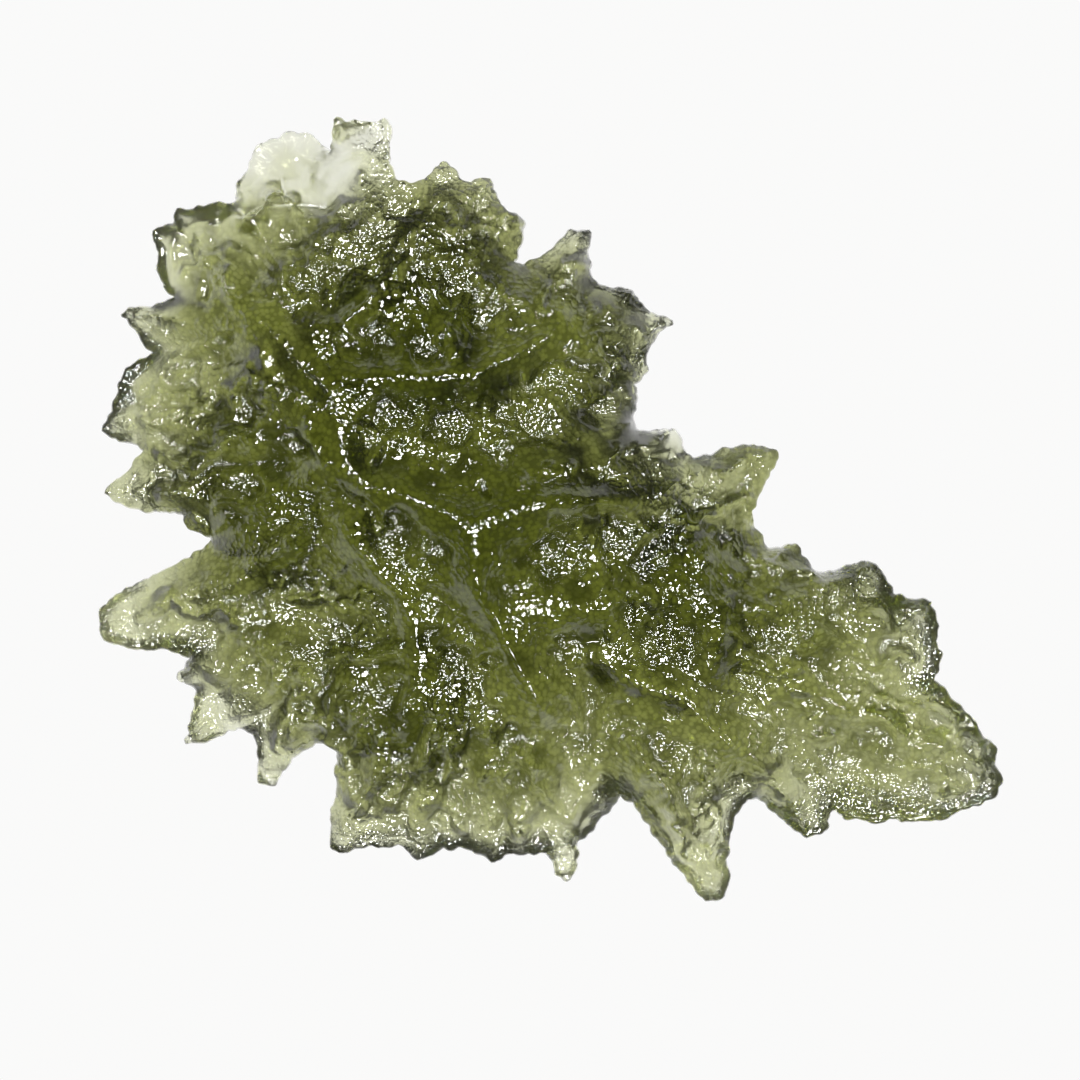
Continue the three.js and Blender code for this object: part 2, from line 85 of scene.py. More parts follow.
# The rim, tooth by tooth, clockwise from the clear flag at the back.
TEETH: dict[str, Tooth] = {
    "clear flag": Tooth(5.3, (
        (-7.65, 13.05), (-7.5, 13.65), (-7.15, 13.55), (-6.7, 13.6), (-6.25, 13.55), (-5.8, 13.65),
        (-5.6, 13.4), (-5.65, 12.85), (-5.65, 12.35), (-5.6, 11.9), (-5.3, 11.55), (-4.85, 11.4),
    ), ((-6.25, 10.7, 5.7), (-6.6, 11.8, 5.4))),
    "back lobe": Tooth(4.9, (
        (-4.4, 11.6), (-4.05, 12), (-3.8, 12.15), (-3.45, 11.95), (-3.15, 11.65), (-2.8, 11.45),
    ), ((-4.6, 9.8, 5.9), (-3.8, 11.9, 5.1))),
    "back hook": Tooth(4.9, (
        (-2.45, 11.65), (-2.15, 11.6), (-2, 11.2), (-1.75, 10.7), (-1.35, 10.4),
    ), ((-3.45, 9.8, 6), (-2.7, 10.75, 5.5), (-2.25, 11.4, 5.1))),
    "back corner": Tooth(4.7, (
        (-0.9, 10.15), (-1, 9.9), (-0.95, 9.55), (-1.15, 9.25), (-1.2, 8.85), (-1.35, 8.6),
    ), ((-2.75, 8.75, 6), (-1.1, 10, 5))),
    "thorn": Tooth(4.4, (
        (-0.9, 8.6), (-0.3, 9), (0.3, 9.4), (0.65, 9.8), (1.35, 9.8), (1.3, 9.05), (1.35, 8.3),
        (1.55, 7.95),
    ), ((0.2, 6.2, 6.6), (0.6, 7.75, 5.5), (0.9, 9.15, 4.9), (1.1, 9.7, 4.6))),
    "blunt tooth": Tooth(4.3, (
        (2.1, 7.85), (2.85, 7.75), (3.05, 7.3), (3.45, 6.9),
    ), ((0.7, 6.3, 6.3), (1.9, 7.1, 5.3), (2.75, 7.6, 4.6))),
    "right thorn": Tooth(4.5, (
        (4, 6.8), (4.35, 6.65), (3.9, 6.25), (3.45, 5.85), (3.3, 5.5), (3.35, 5),
    ), ((0.9, 5.8, 6.3), (2.6, 6.2, 5.4), (3.95, 6.5, 4.7))),
    "right cliff": Tooth(4.5, (
        (3.1, 4.65), (2.9, 4.45), (3, 3.95), (2.95, 3.6), (2.85, 2.9),
    ), ((1.2, 4.3, 5.9), (2.7, 4.3, 4.9))),
    "low pale tooth": Tooth(5, (
        (3.1, 2.85), (3.7, 2.8), (4.25, 3), (4.4, 2.55), (4.6, 2.15), (4.95, 1.9),
    ), ((1.25, 0.75, 7.1), (2.2, 1.4, 6.6), (3, 2.1, 6.2), (4.1, 2.85, 5.6))),
    "right horn": Tooth(4.4, (
        (5.45, 1.95), (6.05, 2.2), (6.5, 2.2), (7.1, 2.35), (7.45, 2.25), (7.9, 2.1), (7.9, 1.65),
        (7.6, 1.15), (7.3, 0.6), (7.15, 0.05),
    ), ((3.1, 0.4, 6.6), (4.85, 1.1, 5.6), (6.2, 1.6, 5.1), (7.5, 2, 4.7))),
    "low chip": Tooth(3.7, (
        (7.05, -0.5), (7.3, -0.8), (7.55, -1.1), (7.6, -1.3),
    ), ((6.6, -1.2, 4.4), (7.2, -1, 3.9))),
    "saw tooth": Tooth(3.7, (
        (8.1, -1.3), (8.6, -1.15), (8.8, -1.55), (9.15, -1.95), (9.4, -2.2),
    ), ((6.45, -2.2, 5.2), (8.35, -1.4, 4))),
    "tail shoulder": Tooth(3.8, (
        (10, -2.1), (10.6, -1.9), (11.15, -1.8), (11.55, -2.05), (11.8, -2.5), (12.1, -2.95),
    ), ((7.65, -3.5, 5.6), (9.8, -2.6, 4.8), (11.1, -2, 4.1))),
    "tail corner": Tooth(3.6, (
        (12.65, -3.15), (13.35, -3.15), (13.45, -3.5), (13.6, -4), (13.5, -4.55), (13.7, -5),
        (13.6, -5.5), (13.5, -5.85),
    ), ((8.7, -4.8, 5.4), (11.5, -3.75, 4.6), (13.1, -3.4, 3.9))),
    "tail": Tooth(3.2, (
        (13.7, -6.2), (14.15, -6.7), (14.7, -7.25), (15.2, -7.85), (15.65, -8.3), (15.6, -8.9),
        (15.8, -9.5), (15.6, -10), (15.05, -10.3), (14.25, -10.5), (13.65, -10.8), (12.95, -10.85),
        (12.1, -10.8), (11.25, -10.9), (10.3, -10.8), (10, -10.5),
    ), ((8.35, -6.2, 5.2), (11.5, -7.3, 4.5), (13.95, -8.5, 4), (15.45, -9.2, 3.5))),
    "glass chip": Tooth(3.3, (
        (9.8, -10.6), (9.65, -11.2), (8.95, -11.5), (8.6, -11.2), (8.25, -10.85), (7.7, -10.4),
        (7.3, -10.1),
    ), ((6.4, -8.2, 5.2), (7.8, -9.4, 4.3), (8.9, -11, 3.5))),
    "front fang": Tooth(3.7, (
        (7, -10.05), (6.7, -10.25), (6.4, -10.75), (6.25, -11.45), (6.15, -12.2), (6.2, -12.95),
        (6.1, -13.45), (5.9, -13.65), (5.45, -13.65), (5.2, -13.35), (4.9, -12.95), (4.4, -12.45),
        (3.95, -11.85), (3.55, -11.2), (3.15, -10.55), (2.85, -10.2), (2.4, -9.9),
    ), ((2.85, -8, 5.6), (4.3, -10.4, 4.8), (5.35, -12.55, 4.1), (5.6, -13.3, 3.9))),
    "low clear tooth": Tooth(3, (
        (2.05, -10.5), (1.7, -10.85), (1.35, -11.3), (0.9, -11.65), (0.85, -12.4), (0.9, -12.65),
        (0.6, -12.9), (0.2, -12.75), (0.05, -12.25),
    ), ((2.35, -8.4, 4.8), (1.65, -9.1, 4.3), (1, -9.8, 3.9), (0.6, -11.15, 3.5), (0.5, -12.6, 3.1))),
    "front saw edge": Tooth(3.3, (
        (-0.2, -12), (-0.75, -12), (-1.3, -12), (-1.7, -12.05),
    ), ((-0.6, -8.7, 5.3), (-0.8, -10.6, 4.1), (-1, -11.65, 3.5))),
    "front barb": Tooth(3.2, (
        (-2.05, -12.3), (-2.35, -12), (-2.7, -11.9), (-3.3, -11.8), (-3.75, -11.8),
    ), ((-2.15, -7.6, 5.6), (-2.25, -10.1, 4.3), (-2.15, -11.85, 3.4))),
    "front double barb": Tooth(3.4, (
        (-4.15, -12.1), (-4.65, -12.25), (-4.95, -12.1), (-5.15, -11.75), (-5.35, -11.65),
    ), ((-3.9, -6.6, 5.8), (-4.2, -9.7, 4.5), (-4.6, -11.85, 3.6))),
    "front corner": Tooth(3.3, (
        (-5.65, -11.85), (-6.25, -11.75), (-6.8, -11.8), (-7.4, -11.95), (-7.65, -11.8), (-7.75, -11.2),
        (-7.7, -10.6), (-7.5, -10), (-7.65, -9.15), (-7.55, -8.5), (-8, -8.1),
    ), ((-4.6, -5.9, 5.9), (-6.2, -9, 4.7), (-7.3, -11.45, 3.6))),
    "left fang": Tooth(3, (
        (-8.5, -8.25), (-9.1, -8.75), (-9.45, -9.15), (-9.75, -9.55), (-10.25, -9.5), (-10.25, -9),
        (-10.3, -8.3), (-10.45, -7.85), (-10.7, -7.65),
    ), ((-6.95, -5.9, 5.2), (-8.9, -7.65, 4.1), (-10, -9.1, 3.2))),
    "window lobe": Tooth(3.1, (
        (-11.35, -7.7), (-12, -7.95), (-12.8, -8.1), (-12.7, -7.55), (-12.45, -6.8), (-12.45, -6.3),
    ), ((-8.8, -5.6, 4.9), (-10.95, -6.6, 3.8), (-12.5, -7.8, 3.3))),
    "small beak": Tooth(3.3, (
        (-12.8, -6.05), (-13.1, -5.8), (-12.9, -5.5), (-12.65, -5.15),
    ), ((-9.15, -4.5, 5.3), (-11.6, -5.35, 4.2), (-12.85, -5.75, 3.5))),
    "long tongue": Tooth(3.6, (
        (-13, -4.95), (-13.8, -4.8), (-14.75, -4.8), (-15.35, -4.65), (-15.75, -4.3), (-15.8, -3.75),
        (-15.7, -3.3), (-15.3, -3), (-14.55, -2.55), (-13.8, -2.2), (-13.05, -1.85), (-12.35, -1.3),
        (-11.95, -0.95),
    ), ((-9.1, -1.05, 6.4), (-10.25, -2.1, 5.6), (-12.55, -2.9, 4.7), (-15.2, -3.75, 3.9))),
    "left beak": Tooth(3.8, (
        (-12.25, -0.8), (-12.75, -0.5), (-13, -0.1), (-13.3, 0), (-13.8, 0), (-14.55, 0.05), (-15.3, 0.3),
        (-15.65, 0.65), (-15.2, 1.1), (-14.6, 1.7), (-14.2, 2.2),
    ), ((-9.85, 0.2, 6.1), (-12.3, 0.45, 5), (-15.15, 0.7, 4))),
    "left lobe": Tooth(3.3, (
        (-14.9, 2.45), (-15.35, 2.65), (-15.75, 2.85), (-15.5, 3.4), (-15.3, 3.9), (-15.15, 4.55),
        (-14.9, 5), (-14.35, 5.3), (-13.9, 5.55),
    ), ((-10.4, 2.5, 5.8), (-12.8, 3.05, 4.5), (-15.2, 3.2, 3.6))),
    "left barb": Tooth(3.4, (
        (-14.3, 5.85), (-14.45, 6.2), (-14.75, 6.65), (-15.1, 6.9), (-14.8, 7.1), (-14.15, 7.2),
        (-13.5, 7.25),
    ), ((-10.6, 6.35, 5.8), (-12.8, 6.7, 4.5), (-14.5, 6.9, 3.6))),
    "pale lobe": Tooth(3.3, (
        (-13.25, 7.55), (-13.65, 8), (-13.85, 8.5), (-13.8, 9.15), (-13.95, 9.8), (-13.6, 10.05),
        (-13.25, 10.25), (-13.1, 10.6), (-12.55, 10.65), (-11.85, 10.8), (-11.15, 10.75),
    ), ((-10.8, 7.3, 5.9), (-11.85, 8.75, 4.6), (-13.25, 9.9, 3.6))),
    "low petal": Tooth(2, (
        (-11, 11.05), (-11.2, 11.5), (-10.7, 12), (-10.55, 12.65), (-9.85, 13.2), (-9.1, 13.4),
        (-8.45, 13.25), (-8, 12.95), (-7.75, 12.6),
    ), ((-9.4, 10.9, 3), (-9.4, 12.8, 2.3))),
}

# Sharp crests of the upper face, as corners of x, y and height.
CRESTS: dict[str, Line] = {
    "long ridge, upper part": (
        (-10.65, 6.8, 6.3), (-10.05, 6.55, 6.4), (-9.5, 6.15, 6.6), (-8.8, 5.3, 6.85), (-8.15, 4.55, 7.05),
        (-7.6, 3.85, 7.2), (-7.3, 3.05, 7.3), (-7.15, 2.3, 7.4), (-7, 1.6, 7.5), (-6.7, 1.05, 7.6),
    ),
    "long ridge, lower part": (
        (-6.7, 1.05, 7.6), (-6.2, 0.8, 7.7), (-5.25, 0.65, 7.8), (-4.7, 0.35, 7.9), (-3.85, 0.1, 8),
        (-3.2, -0.25, 8.1), (-2.75, -0.55, 8.2),
    ),
    "east ridge": (
        (-2.75, -0.55, 8.2), (-2.1, -0.35, 8.2), (-1.35, 0, 8.15), (-0.5, 0.25, 8.1), (0.4, 0.35, 8),
        (1.3, 0.35, 7.8), (2.15, 0.25, 7.3), (3.1, 0.4, 6.6),
    ),
    "north ridge": (
        (-7.5, 4.65, 7.2), (-6.2, 4.55, 7.4), (-5.15, 4.6, 7.5), (-4.05, 4.65, 7.5), (-2.85, 4.6, 7.4),
        (-2.1, 4.85, 7.3), (-1.3, 5.35, 7.1), (-0.45, 5.9, 6.9), (0.2, 6.2, 6.6), (0.7, 6.3, 6.3),
    ),
    "south ridge": (
        (-2.75, -0.55, 8.2), (-2.65, -1.4, 8.1), (-2.65, -2.3, 7.9), (-2.4, -3.15, 7.6), (-1.9, -3.85, 7.3),
        (-1.5, -4.8, 7), (-1.05, -5.75, 6.7), (-0.5, -6.5, 6.4), (-0.3, -7, 6.1),
    ),
    "short white crest": (
        (-1, -3.55, 7.05), (-0.2, -3.35, 7.15), (0.95, -3.3, 7.1), (1.95, -3.4, 6.9),
    ),
    "tail ridge": (
        (1.7, -5.25, 6.2), (2.15, -5.55, 6.3), (2.85, -5.9, 6.25), (3.45, -6.15, 6.15), (4.15, -6.4, 6.05),
        (5.15, -6.9, 5.9), (6.4, -8.2, 5.3),
    ),
    "hooked crest": (
        (5.35, -2.75, 6.3), (5.7, -3.5, 6.3), (5.95, -4.35, 6.2), (5.8, -5, 6.1), (5.55, -5.55, 6),
    ),
    "west rib": (
        (-7.1, -0.5, 7), (-6.75, -1.15, 7), (-6.4, -1.65, 6.9), (-6, -2.3, 6.8), (-5.3, -2.7, 6.7),
        (-4.8, -4.15, 6.3), (-4.6, -5.9, 5.9),
    ),
    "bowl lip": (
        (0.05, 3.65, 6.2), (0.5, 3.15, 6.2), (1, 2.8, 6.2), (1.6, 2.7, 6), (2.1, 2.9, 5.8),
        (2.7, 3.05, 5.4),
    ),
}

# Rounded ridges, which shape the hanging sheet but carry no bright line.
SOFT_RIDGES: dict[str, Line] = {
    "saddle to the hooked crest": (
        (1.95, -3.4, 7), (3.65, -2.95, 6.6), (5.35, -2.75, 6.3), (6.6, -3.1, 6), (7.65, -3.5, 5.6),
    ),
    "west saddle": (
        (-9.85, 0.2, 6.1), (-8.7, -0.65, 6.5), (-7.1, -0.5, 7), (-6.2, 0.8, 7.7),
    ),
    "shoulder of the long ridge": (
        (-11.4, 8.3, 5.7), (-10.9, 7.05, 6), (-10.3, 5.85, 6.3), (-9.55, 4.6, 6.55), (-8.8, 3.5, 6.8),
        (-8, 2.3, 7.05), (-7.3, 1.3, 7.35),
    ),
    "back plate": (
        (-4.85, 9.8, 6), (-5.05, 8.75, 6.3), (-5.4, 8.25, 6.4), (-6.25, 7.4, 6.6), (-6.8, 6.65, 6.7),
        (-7.5, 5.95, 6.8), (-8, 4.45, 7.1),
    ),
    "back hollow rim": (
        (-9.3, 7.6, 6.2), (-9.25, 8.3, 6.1), (-8.8, 8.75, 6), (-8.1, 9.1, 6), (-7.3, 9.35, 6),
        (-6.6, 9.5, 5.9), (-5.9, 10.5, 5.9),
    ),
    "pale lobe wall": (
        (-10.9, 10.15, 4.2), (-10.7, 9.15, 4.9), (-10.35, 7.75, 5.6), (-9.75, 6.75, 6.2),
    ),
    "back ledge": (
        (-10.7, 10.2, 4.6), (-10.2, 10.5, 4.8), (-9.65, 10.7, 4.9), (-9.15, 10.55, 5), (-8.55, 10.4, 5.1),
        (-7.9, 10.5, 5.2), (-7.2, 10.4, 5.5), (-5.9, 10.5, 5.9),
    ),
    "pale band": (
        (-1.1, 1.15, 7.6), (0.15, 1.4, 7.3), (1.35, 1.65, 6.9), (2.4, 2, 6.4), (3.45, 2.35, 5.8),
    ),
    "cliff band": (
        (0.85, 4.1, 5.9), (1.45, 3.9, 5.8), (2.15, 3.85, 5.5), (2.75, 3.95, 5),
    ),
    "back cup wall": (
        (-2.85, 8.75, 6), (-2.35, 7.75, 6.1), (-1.35, 7.4, 6.1), (-0.4, 6.9, 6.3), (0.2, 6.2, 6.6),
    ),
    "back centre rib": (
        (-4.25, 8.75, 6.2), (-3.9, 7.7, 6.2), (-3.5, 7, 6.4), (-3.7, 5.85, 6.9), (-3.45, 4.6, 7.4),
    ),
    "east wall": (
        (3.1, 0.4, 6.6), (4.1, 0.1, 6.2), (4.85, -0.65, 6), (5.2, -1.7, 6.1), (5.35, -2.75, 6.3),
    ),
    "between the east bowls": (
        (1.6, 0.3, 7), (1.7, -0.65, 6.6), (1.9, -1.7, 6.5), (1.95, -2.75, 6.8), (1.95, -3.4, 7),
    ),
}

# Where the thin petal joins the wall above it.
PETAL_ROOT: Line = ((-10.85, 10.4, 2.8), (-10.1, 10.8, 3), (-8.95, 10.75, 3.1), (-7.9, 10.7, 3.1))

# Etched hollows of the upper face.
CUPS: tuple[Cup, ...] = (
    Cup(-5.7, 3.2, 1.1, 0.5), Cup(-3.45, 2.9, 1, 0.75), Cup(-1.5, 3.5, 0.75, 0.35),
    Cup(-1.85, 2.15, 0.5, 0.3), Cup(-0.45, 3.2, 0.85, 0.35), Cup(-2.3, 0.95, 0.4, 0.2),
    Cup(-5.45, -0.95, 0.9, 0.8), Cup(-3.9, -1.55, 0.65, 0.35), Cup(-0.1, -1.55, 1.05, 0.9),
    Cup(2.2, -0.7, 0.7, 0.4), Cup(3.4, -1.65, 0.75, 0.6), Cup(4.15, -0.8, 0.65, 0.4),
    Cup(-8.25, 8.1, 0.85, 0.5), Cup(-7.05, 8.25, 0.7, 0.5), Cup(-8, 9.5, 0.55, 0.3),
    Cup(-2.25, 6.9, 0.9, 0.65), Cup(-5.9, 6.15, 0.75, 0.65), Cup(-4.25, 5.65, 0.65, 0.35),
    Cup(-1.1, 6.2, 0.55, 0.3), Cup(0.5, -5, 0.7, 0.5), Cup(1.65, -5.85, 0.4, 0.2),
    Cup(2.75, -6.7, 0.35, 0.2), Cup(4.1, -4.5, 1.05, 0.45), Cup(3.1, -3.8, 0.65, 0.3),
    Cup(4.85, -2.75, 0.55, 0.3), Cup(-11.3, 0.4, 1.2, 0.8), Cup(-10.6, 3.5, 0.75, 0.65),
    Cup(-10.1, -3.15, 0.5, 0.4), Cup(-8.45, -2.2, 0.5, 0.35), Cup(-9, -1.85, 0.35, 0.3),
    Cup(-5.95, -3.6, 0.65, 0.4), Cup(-7.2, -3.95, 0.7, 0.35), Cup(-3, -5.6, 1.05, 0.5),
    Cup(-5.7, -6.45, 0.7, 0.45), Cup(-7.4, -7.95, 0.55, 0.6), Cup(-6.5, -10.25, 0.75, 0.5),
    Cup(-2.9, -9.9, 0.75, 0.8), Cup(-4.25, -4.5, 0.55, 0.3), Cup(-1.6, -8, 0.5, 0.3),
    Cup(0.65, -8, 0.5, 0.35), Cup(3.65, -8.3, 0.85, 0.5), Cup(4.95, -9.8, 0.75, 0.6),
    Cup(2.5, -8.2, 0.4, 0.3), Cup(5.9, -7.3, 0.55, 0.3), Cup(9.95, -3.95, 0.7, 0.3),
    Cup(9.25, -5.1, 0.9, 0.35), Cup(9.75, -6.65, 1.25, 0.45), Cup(12.05, -4.65, 0.65, 0.4),
    Cup(11.15, -8.05, 0.9, 0.3), Cup(7.3, -4.5, 0.7, 0.3), Cup(7.85, -3.1, 0.55, 0.3),
    Cup(12.85, -4.2, 0.5, 0.4), Cup(6, -0.65, 0.7, 0.5), Cup(1.3, 0.35, 0.3, 0.25), Cup(6, 1.45, 0.5, 0.3),
    Cup(5.2, 0.4, 0.5, 0.3), Cup(4.85, 2.15, 0.5, 0.25), Cup(1.8, 6.75, 0.9, 0.4),
    Cup(1.6, 4.9, 0.75, 0.45), Cup(1.8, 3.4, 0.85, 0.6), Cup(2.4, 5.85, 0.5, 0.3),
    Cup(0.65, 8.75, 0.5, 0.3), Cup(-9.2, 9.8, 0.65, 0.3), Cup(-10.1, 9.7, 0.4, 0.25),
    Cup(-5.1, 10.4, 0.5, 0.3), Cup(-3.9, 10.55, 0.65, 0.35), Cup(-2.85, 10.4, 0.55, 0.35),
    Cup(-1.85, 9.7, 0.55, 0.35), Cup(-3.35, 7.95, 0.85, 0.4), Cup(-2.3, 9, 0.55, 0.3),
    Cup(-12.9, 9.1, 0.65, 0.3), Cup(-11.75, 9.55, 0.55, 0.25), Cup(-12.1, 7.95, 0.55, 0.3),
    Cup(-14.75, 3.55, 0.7, 0.4), Cup(-13.4, 2.8, 0.65, 0.4), Cup(-12.65, 4.6, 0.65, 0.35),
    Cup(-11.4, 5.65, 0.55, 0.3), Cup(-13.7, 6.55, 0.4, 0.3), Cup(-13.5, 1.25, 0.65, 0.4),
    Cup(-14.55, 0.7, 0.35, 0.25), Cup(-12.3, 1.8, 0.5, 0.3), Cup(-9.15, 2.15, 0.65, 0.35),
    Cup(-8.45, 0.4, 0.55, 0.3), Cup(-9.15, 4.1, 0.55, 0.3), Cup(-14.05, -3.95, 0.75, 0.3),
    Cup(-12.1, -4.5, 0.65, 0.4), Cup(-13.35, -3.25, 0.5, 0.25), Cup(-10.7, -5.35, 0.5, 0.35),
    Cup(-10.1, -7.35, 0.4, 0.3), Cup(-9.15, -6.6, 0.55, 0.4), Cup(-8.8, -5.2, 0.5, 0.3),
    Cup(-7.9, -6.25, 0.5, 0.3), Cup(-4.6, -9.05, 0.65, 0.4), Cup(-5.3, -10.8, 0.5, 0.35),
    Cup(-3.9, -11, 0.45, 0.35), Cup(-1.6, -11, 0.55, 0.4), Cup(-0.2, -10.6, 0.5, 0.35),
    Cup(-1.1, -9.55, 0.4, 0.3), Cup(1.55, -9.9, 0.4, 0.25), Cup(5.2, -11.5, 0.5, 0.35),
    Cup(4.25, -9.75, 0.4, 0.3), Cup(5.7, -12.6, 0.3, 0.25), Cup(14.15, -9, 0.85, 0.35),
    Cup(14.4, -7.5, 0.5, 0.3), Cup(12.9, -9.75, 0.7, 0.3), Cup(11.5, -10.05, 0.65, 0.3),
    Cup(15.2, -9.4, 0.3, 0.3), Cup(8, -8, 0.65, 0.3), Cup(9.4, -8.7, 0.65, 0.3), Cup(6.95, -5.9, 0.65, 0.3),
    Cup(8.35, -10.1, 0.35, 0.3),
)

# Low ribs on the teeth: width, height and corners.
RIBS: tuple[tuple[float, float, Line], ...] = (
    (0.5, 0.35, ((-4, -7.9), (-4.4, -8.5), (-4.95, -9.1), (-5.3, -10.5))),
    (0.45, 0.35, ((-1.55, -9.2), (-1.35, -10.1), (-1.2, -11.15))),
    (0.5, 0.4, ((-1.25, -8.5), (-0.65, -9.1), (-0.05, -9.75), (0.4, -10.5))),
    (0.45, 0.3, ((-11.25, 4), (-10.7, 4.3), (-10.25, 4.45), (-9.65, 4.2))),
    (0.45, 0.35, ((-13.7, -3.35), (-12.65, -3.35), (-11.75, -3.5), (-11.15, -3.85))),
    (0.4, 0.3, ((-8.8, -6.25), (-9.3, -7.1), (-9.65, -8.15))),
    (0.4, 0.3, ((-7.75, -6.6), (-8.15, -7.45), (-8, -8.05))),
    (0.45, 0.3, ((-6.7, -7.3), (-7.2, -8.7), (-6.95, -10.1))),
    (0.4, 0.3, ((-3.2, -7.3), (-3.35, -9.05), (-2.85, -11.15))),
    (0.4, 0.3, ((-14.05, 4.1), (-13.15, 3.9), (-12.3, 4.05))),
    (0.4, 0.3, ((-14.05, 2), (-12.8, 1.85), (-11.25, 2.1))),
    (0.4, 0.3, ((5.2, -8.7), (5.75, -10.1), (6, -11.85))),
    (0.4, 0.3, ((3.45, -9.05), (4.25, -10.25), (4.85, -11.85))),
    (0.4, 0.3, ((-2.5, 9.85), (-1.8, 10.4), (-1.35, 10.15))),
    (0.4, 0.3, ((-0.2, 7.4), (0.4, 8.3), (1, 8.75))),
    (0.45, 0.3, ((1.35, 5.6), (2.15, 5.25), (3, 5.1))),
    (0.45, 0.3, ((5.2, -0.3), (6.1, 0.25), (6.9, 0.45))),
    (0.45, 0.3, ((7.3, -1.7), (8.35, -2.2), (9.25, -2.55))),
    (0.45, 0.3, ((9.4, -4.5), (10.8, -4.85), (12.2, -5.2))),
    (0.45, 0.3, ((8.7, -7.3), (10.45, -7.8), (12.4, -8.85), (13.95, -9.75))),
    (0.45, 0.3, ((10.8, -6.25), (12.2, -6.6), (13.6, -7.1), (14.85, -8.35))),
    (0.4, 0.3, ((5.2, -4.5), (6.8, -4.85), (8.35, -5.5))),
    (0.45, 0.3, ((-8.8, -3.1), (-7.75, -2.9), (-6.4, -3.1))),
    (0.45, 0.3, ((-7.75, -4.85), (-6.5, -5), (-5.3, -4.85))),
    (0.4, 0.3, ((-10.9, -4.5), (-10.1, -5), (-9.65, -6.25))),
    (0.4, 0.25, ((-13, 8.45), (-12.3, 8.8), (-11.4, 8.75))),
)

# Smooth bands beside the crests, which also get painted light: half width, how far the lower face rises,
# and corners.
BANDS: tuple[tuple[float, float, Line], ...] = (
    (0.3, 0, ((-9.9, 7), (-9.05, 6.2), (-8.3, 5.25), (-7.45, 4.3))),
    (0.75, 0.33, ((-11.5, 8.75), (-10.7, 7.4), (-10.1, 6), (-9.4, 4.9), (-8.7, 3.85))),
    (0.6, 0.33, ((-8.7, 3.85), (-8, 2.65), (-7.45, 1.5))),
    (0.4, 0.25, ((-7.05, 1.1), (-5.8, 0.35), (-4.6, -0.1), (-3.55, -0.45))),
    (0.35, 0.2, ((-5.65, 4.3), (-3.9, 4.3), (-2.5, 4.4), (-1.45, 4.8), (-0.2, 5.45), (1, 5.6))),
    (0.3, 0.2, ((-2.4, -0.8), (-1.45, -0.35), (-0.05, 0), (1.35, 0))),
    (0.65, 0.25, ((-1.6, 1.45), (-0.05, 1.65), (1.7, 2.15), (3.1, 2.35), (4.25, 2.3))),
    (0.4, 0.2, ((-4.85, 9.5), (-5.45, 7.75), (-6.25, 7.05), (-6.95, 6.3))),
    (0.3, 0.15, ((-4.15, 7.75), (-3.9, 6.35))),
    (0.3, 0.15, ((1.35, -0.3), (1.45, -1.7), (1.3, -2.75))),
    (0.4, 0.12, ((2.6, -6.6), (3.8, -7), (5.2, -7.65), (6.6, -8.15))),
    (0.35, 0.2, ((-10.9, -2.75), (-9.85, -2.1), (-8.8, -1.4))),
    (0.3, 0.12, ((-2.5, -4.85), (-1.8, -6.25), (-0.9, -7.1))),
    (0.5, 0.25, ((-6.6, -10.3), (-5.8, -10.5))),
    (0.4, 0.15, ((-3.35, -9.35), (-2.9, -9.8))),
    (0.55, 0.25, ((1.7, -9.2), (1.35, -10.1), (0.95, -10.85))),
    (0.75, 0.2, ((6.25, -5.2), (8.35, -5.9), (10.1, -6.6))),
)

# Dull hollows, less pitted and darkened by painted shade: x, y and radius.
DULL_AND_SHADED: tuple[Point, ...] = (
    (-6.15, 5.35, 0.7), (-6.85, 5.65, 0.4), (-5.3, -0.7, 0.55), (0.05, -2.15, 0.55), (-2.85, 1.75, 0.7),
    (-5.3, 1.75, 0.65), (-4.25, 1.1, 0.55), (3.1, -1.7, 0.55), (2.4, -2.2, 0.5), (-11.3, 0.1, 0.75),
    (-10.1, -3.95, 0.85), (-11.25, -3.95, 0.65), (-4.25, -4.5, 0.9), (-5.45, -7.1, 0.75),
    (-4.95, -7.8, 0.55), (1.35, -4.45, 0.65), (2.6, -5, 0.65), (3.8, -5.25, 0.65), (4.85, -5.35, 0.5),
    (3.1, -4.5, 0.5), (0.85, -2.75, 0.5), (-1.1, -1.7, 0.4), (-1.1, -5.2, 0.5), (-4.6, 5.85, 0.75),
    (-2.85, 5.65, 0.7), (-1.8, 3.9, 0.35), (-9.5, 2.15, 0.65), (-9.65, 1.45, 0.5), (-7.75, -6.6, 0.5),
    (-3.1, -11.3, 0.5), (-2.85, -8.05, 0.55), (-7.55, -7.8, 0.5), (1.35, 3.4, 0.55), (2.05, 3.9, 0.5),
    (-3.55, -9.75, 0.4), (4.85, -11.3, 0.35), (5.45, -12.25, 0.3), (4, -10.1, 0.35), (5.65, -10.1, 0.3),
    (-1.6, -10.1, 0.3), (-4.25, -8.7, 0.35), (-0.4, -8.4, 0.3), (-2.5, -8.85, 0.3), (-5.45, -8.15, 0.3),
    (-1.1, -7.8, 0.3), (-7.05, -3.8, 0.5), (-8.45, -4.85, 0.55), (1.2, -8.15, 0.4), (0.3, -9.05, 0.35),
    (4.85, -9.2, 0.4), (6.6, -3.1, 0.5), (7.3, -5, 0.4),
)

# Keels of the lower face, which join the feet.
KEELS: tuple[Line, ...] = (
    ((-5.3, 5.8, 0.7), (-3.2, 2.2, 1.1), (-0.8, -0.4, 0.9), (4.6, -2.2, 0.7), (8.5, -4.5, 1.2)),
    ((-9.8, 0.6, 0.9), (-5.5, 0.4, 1.2), (-0.8, -0.4, 0.9)),
    ((-0.8, -0.4, 0.9), (-3.4, -3.4, 1.1), (-5.6, -6.4, 0.7)),
)

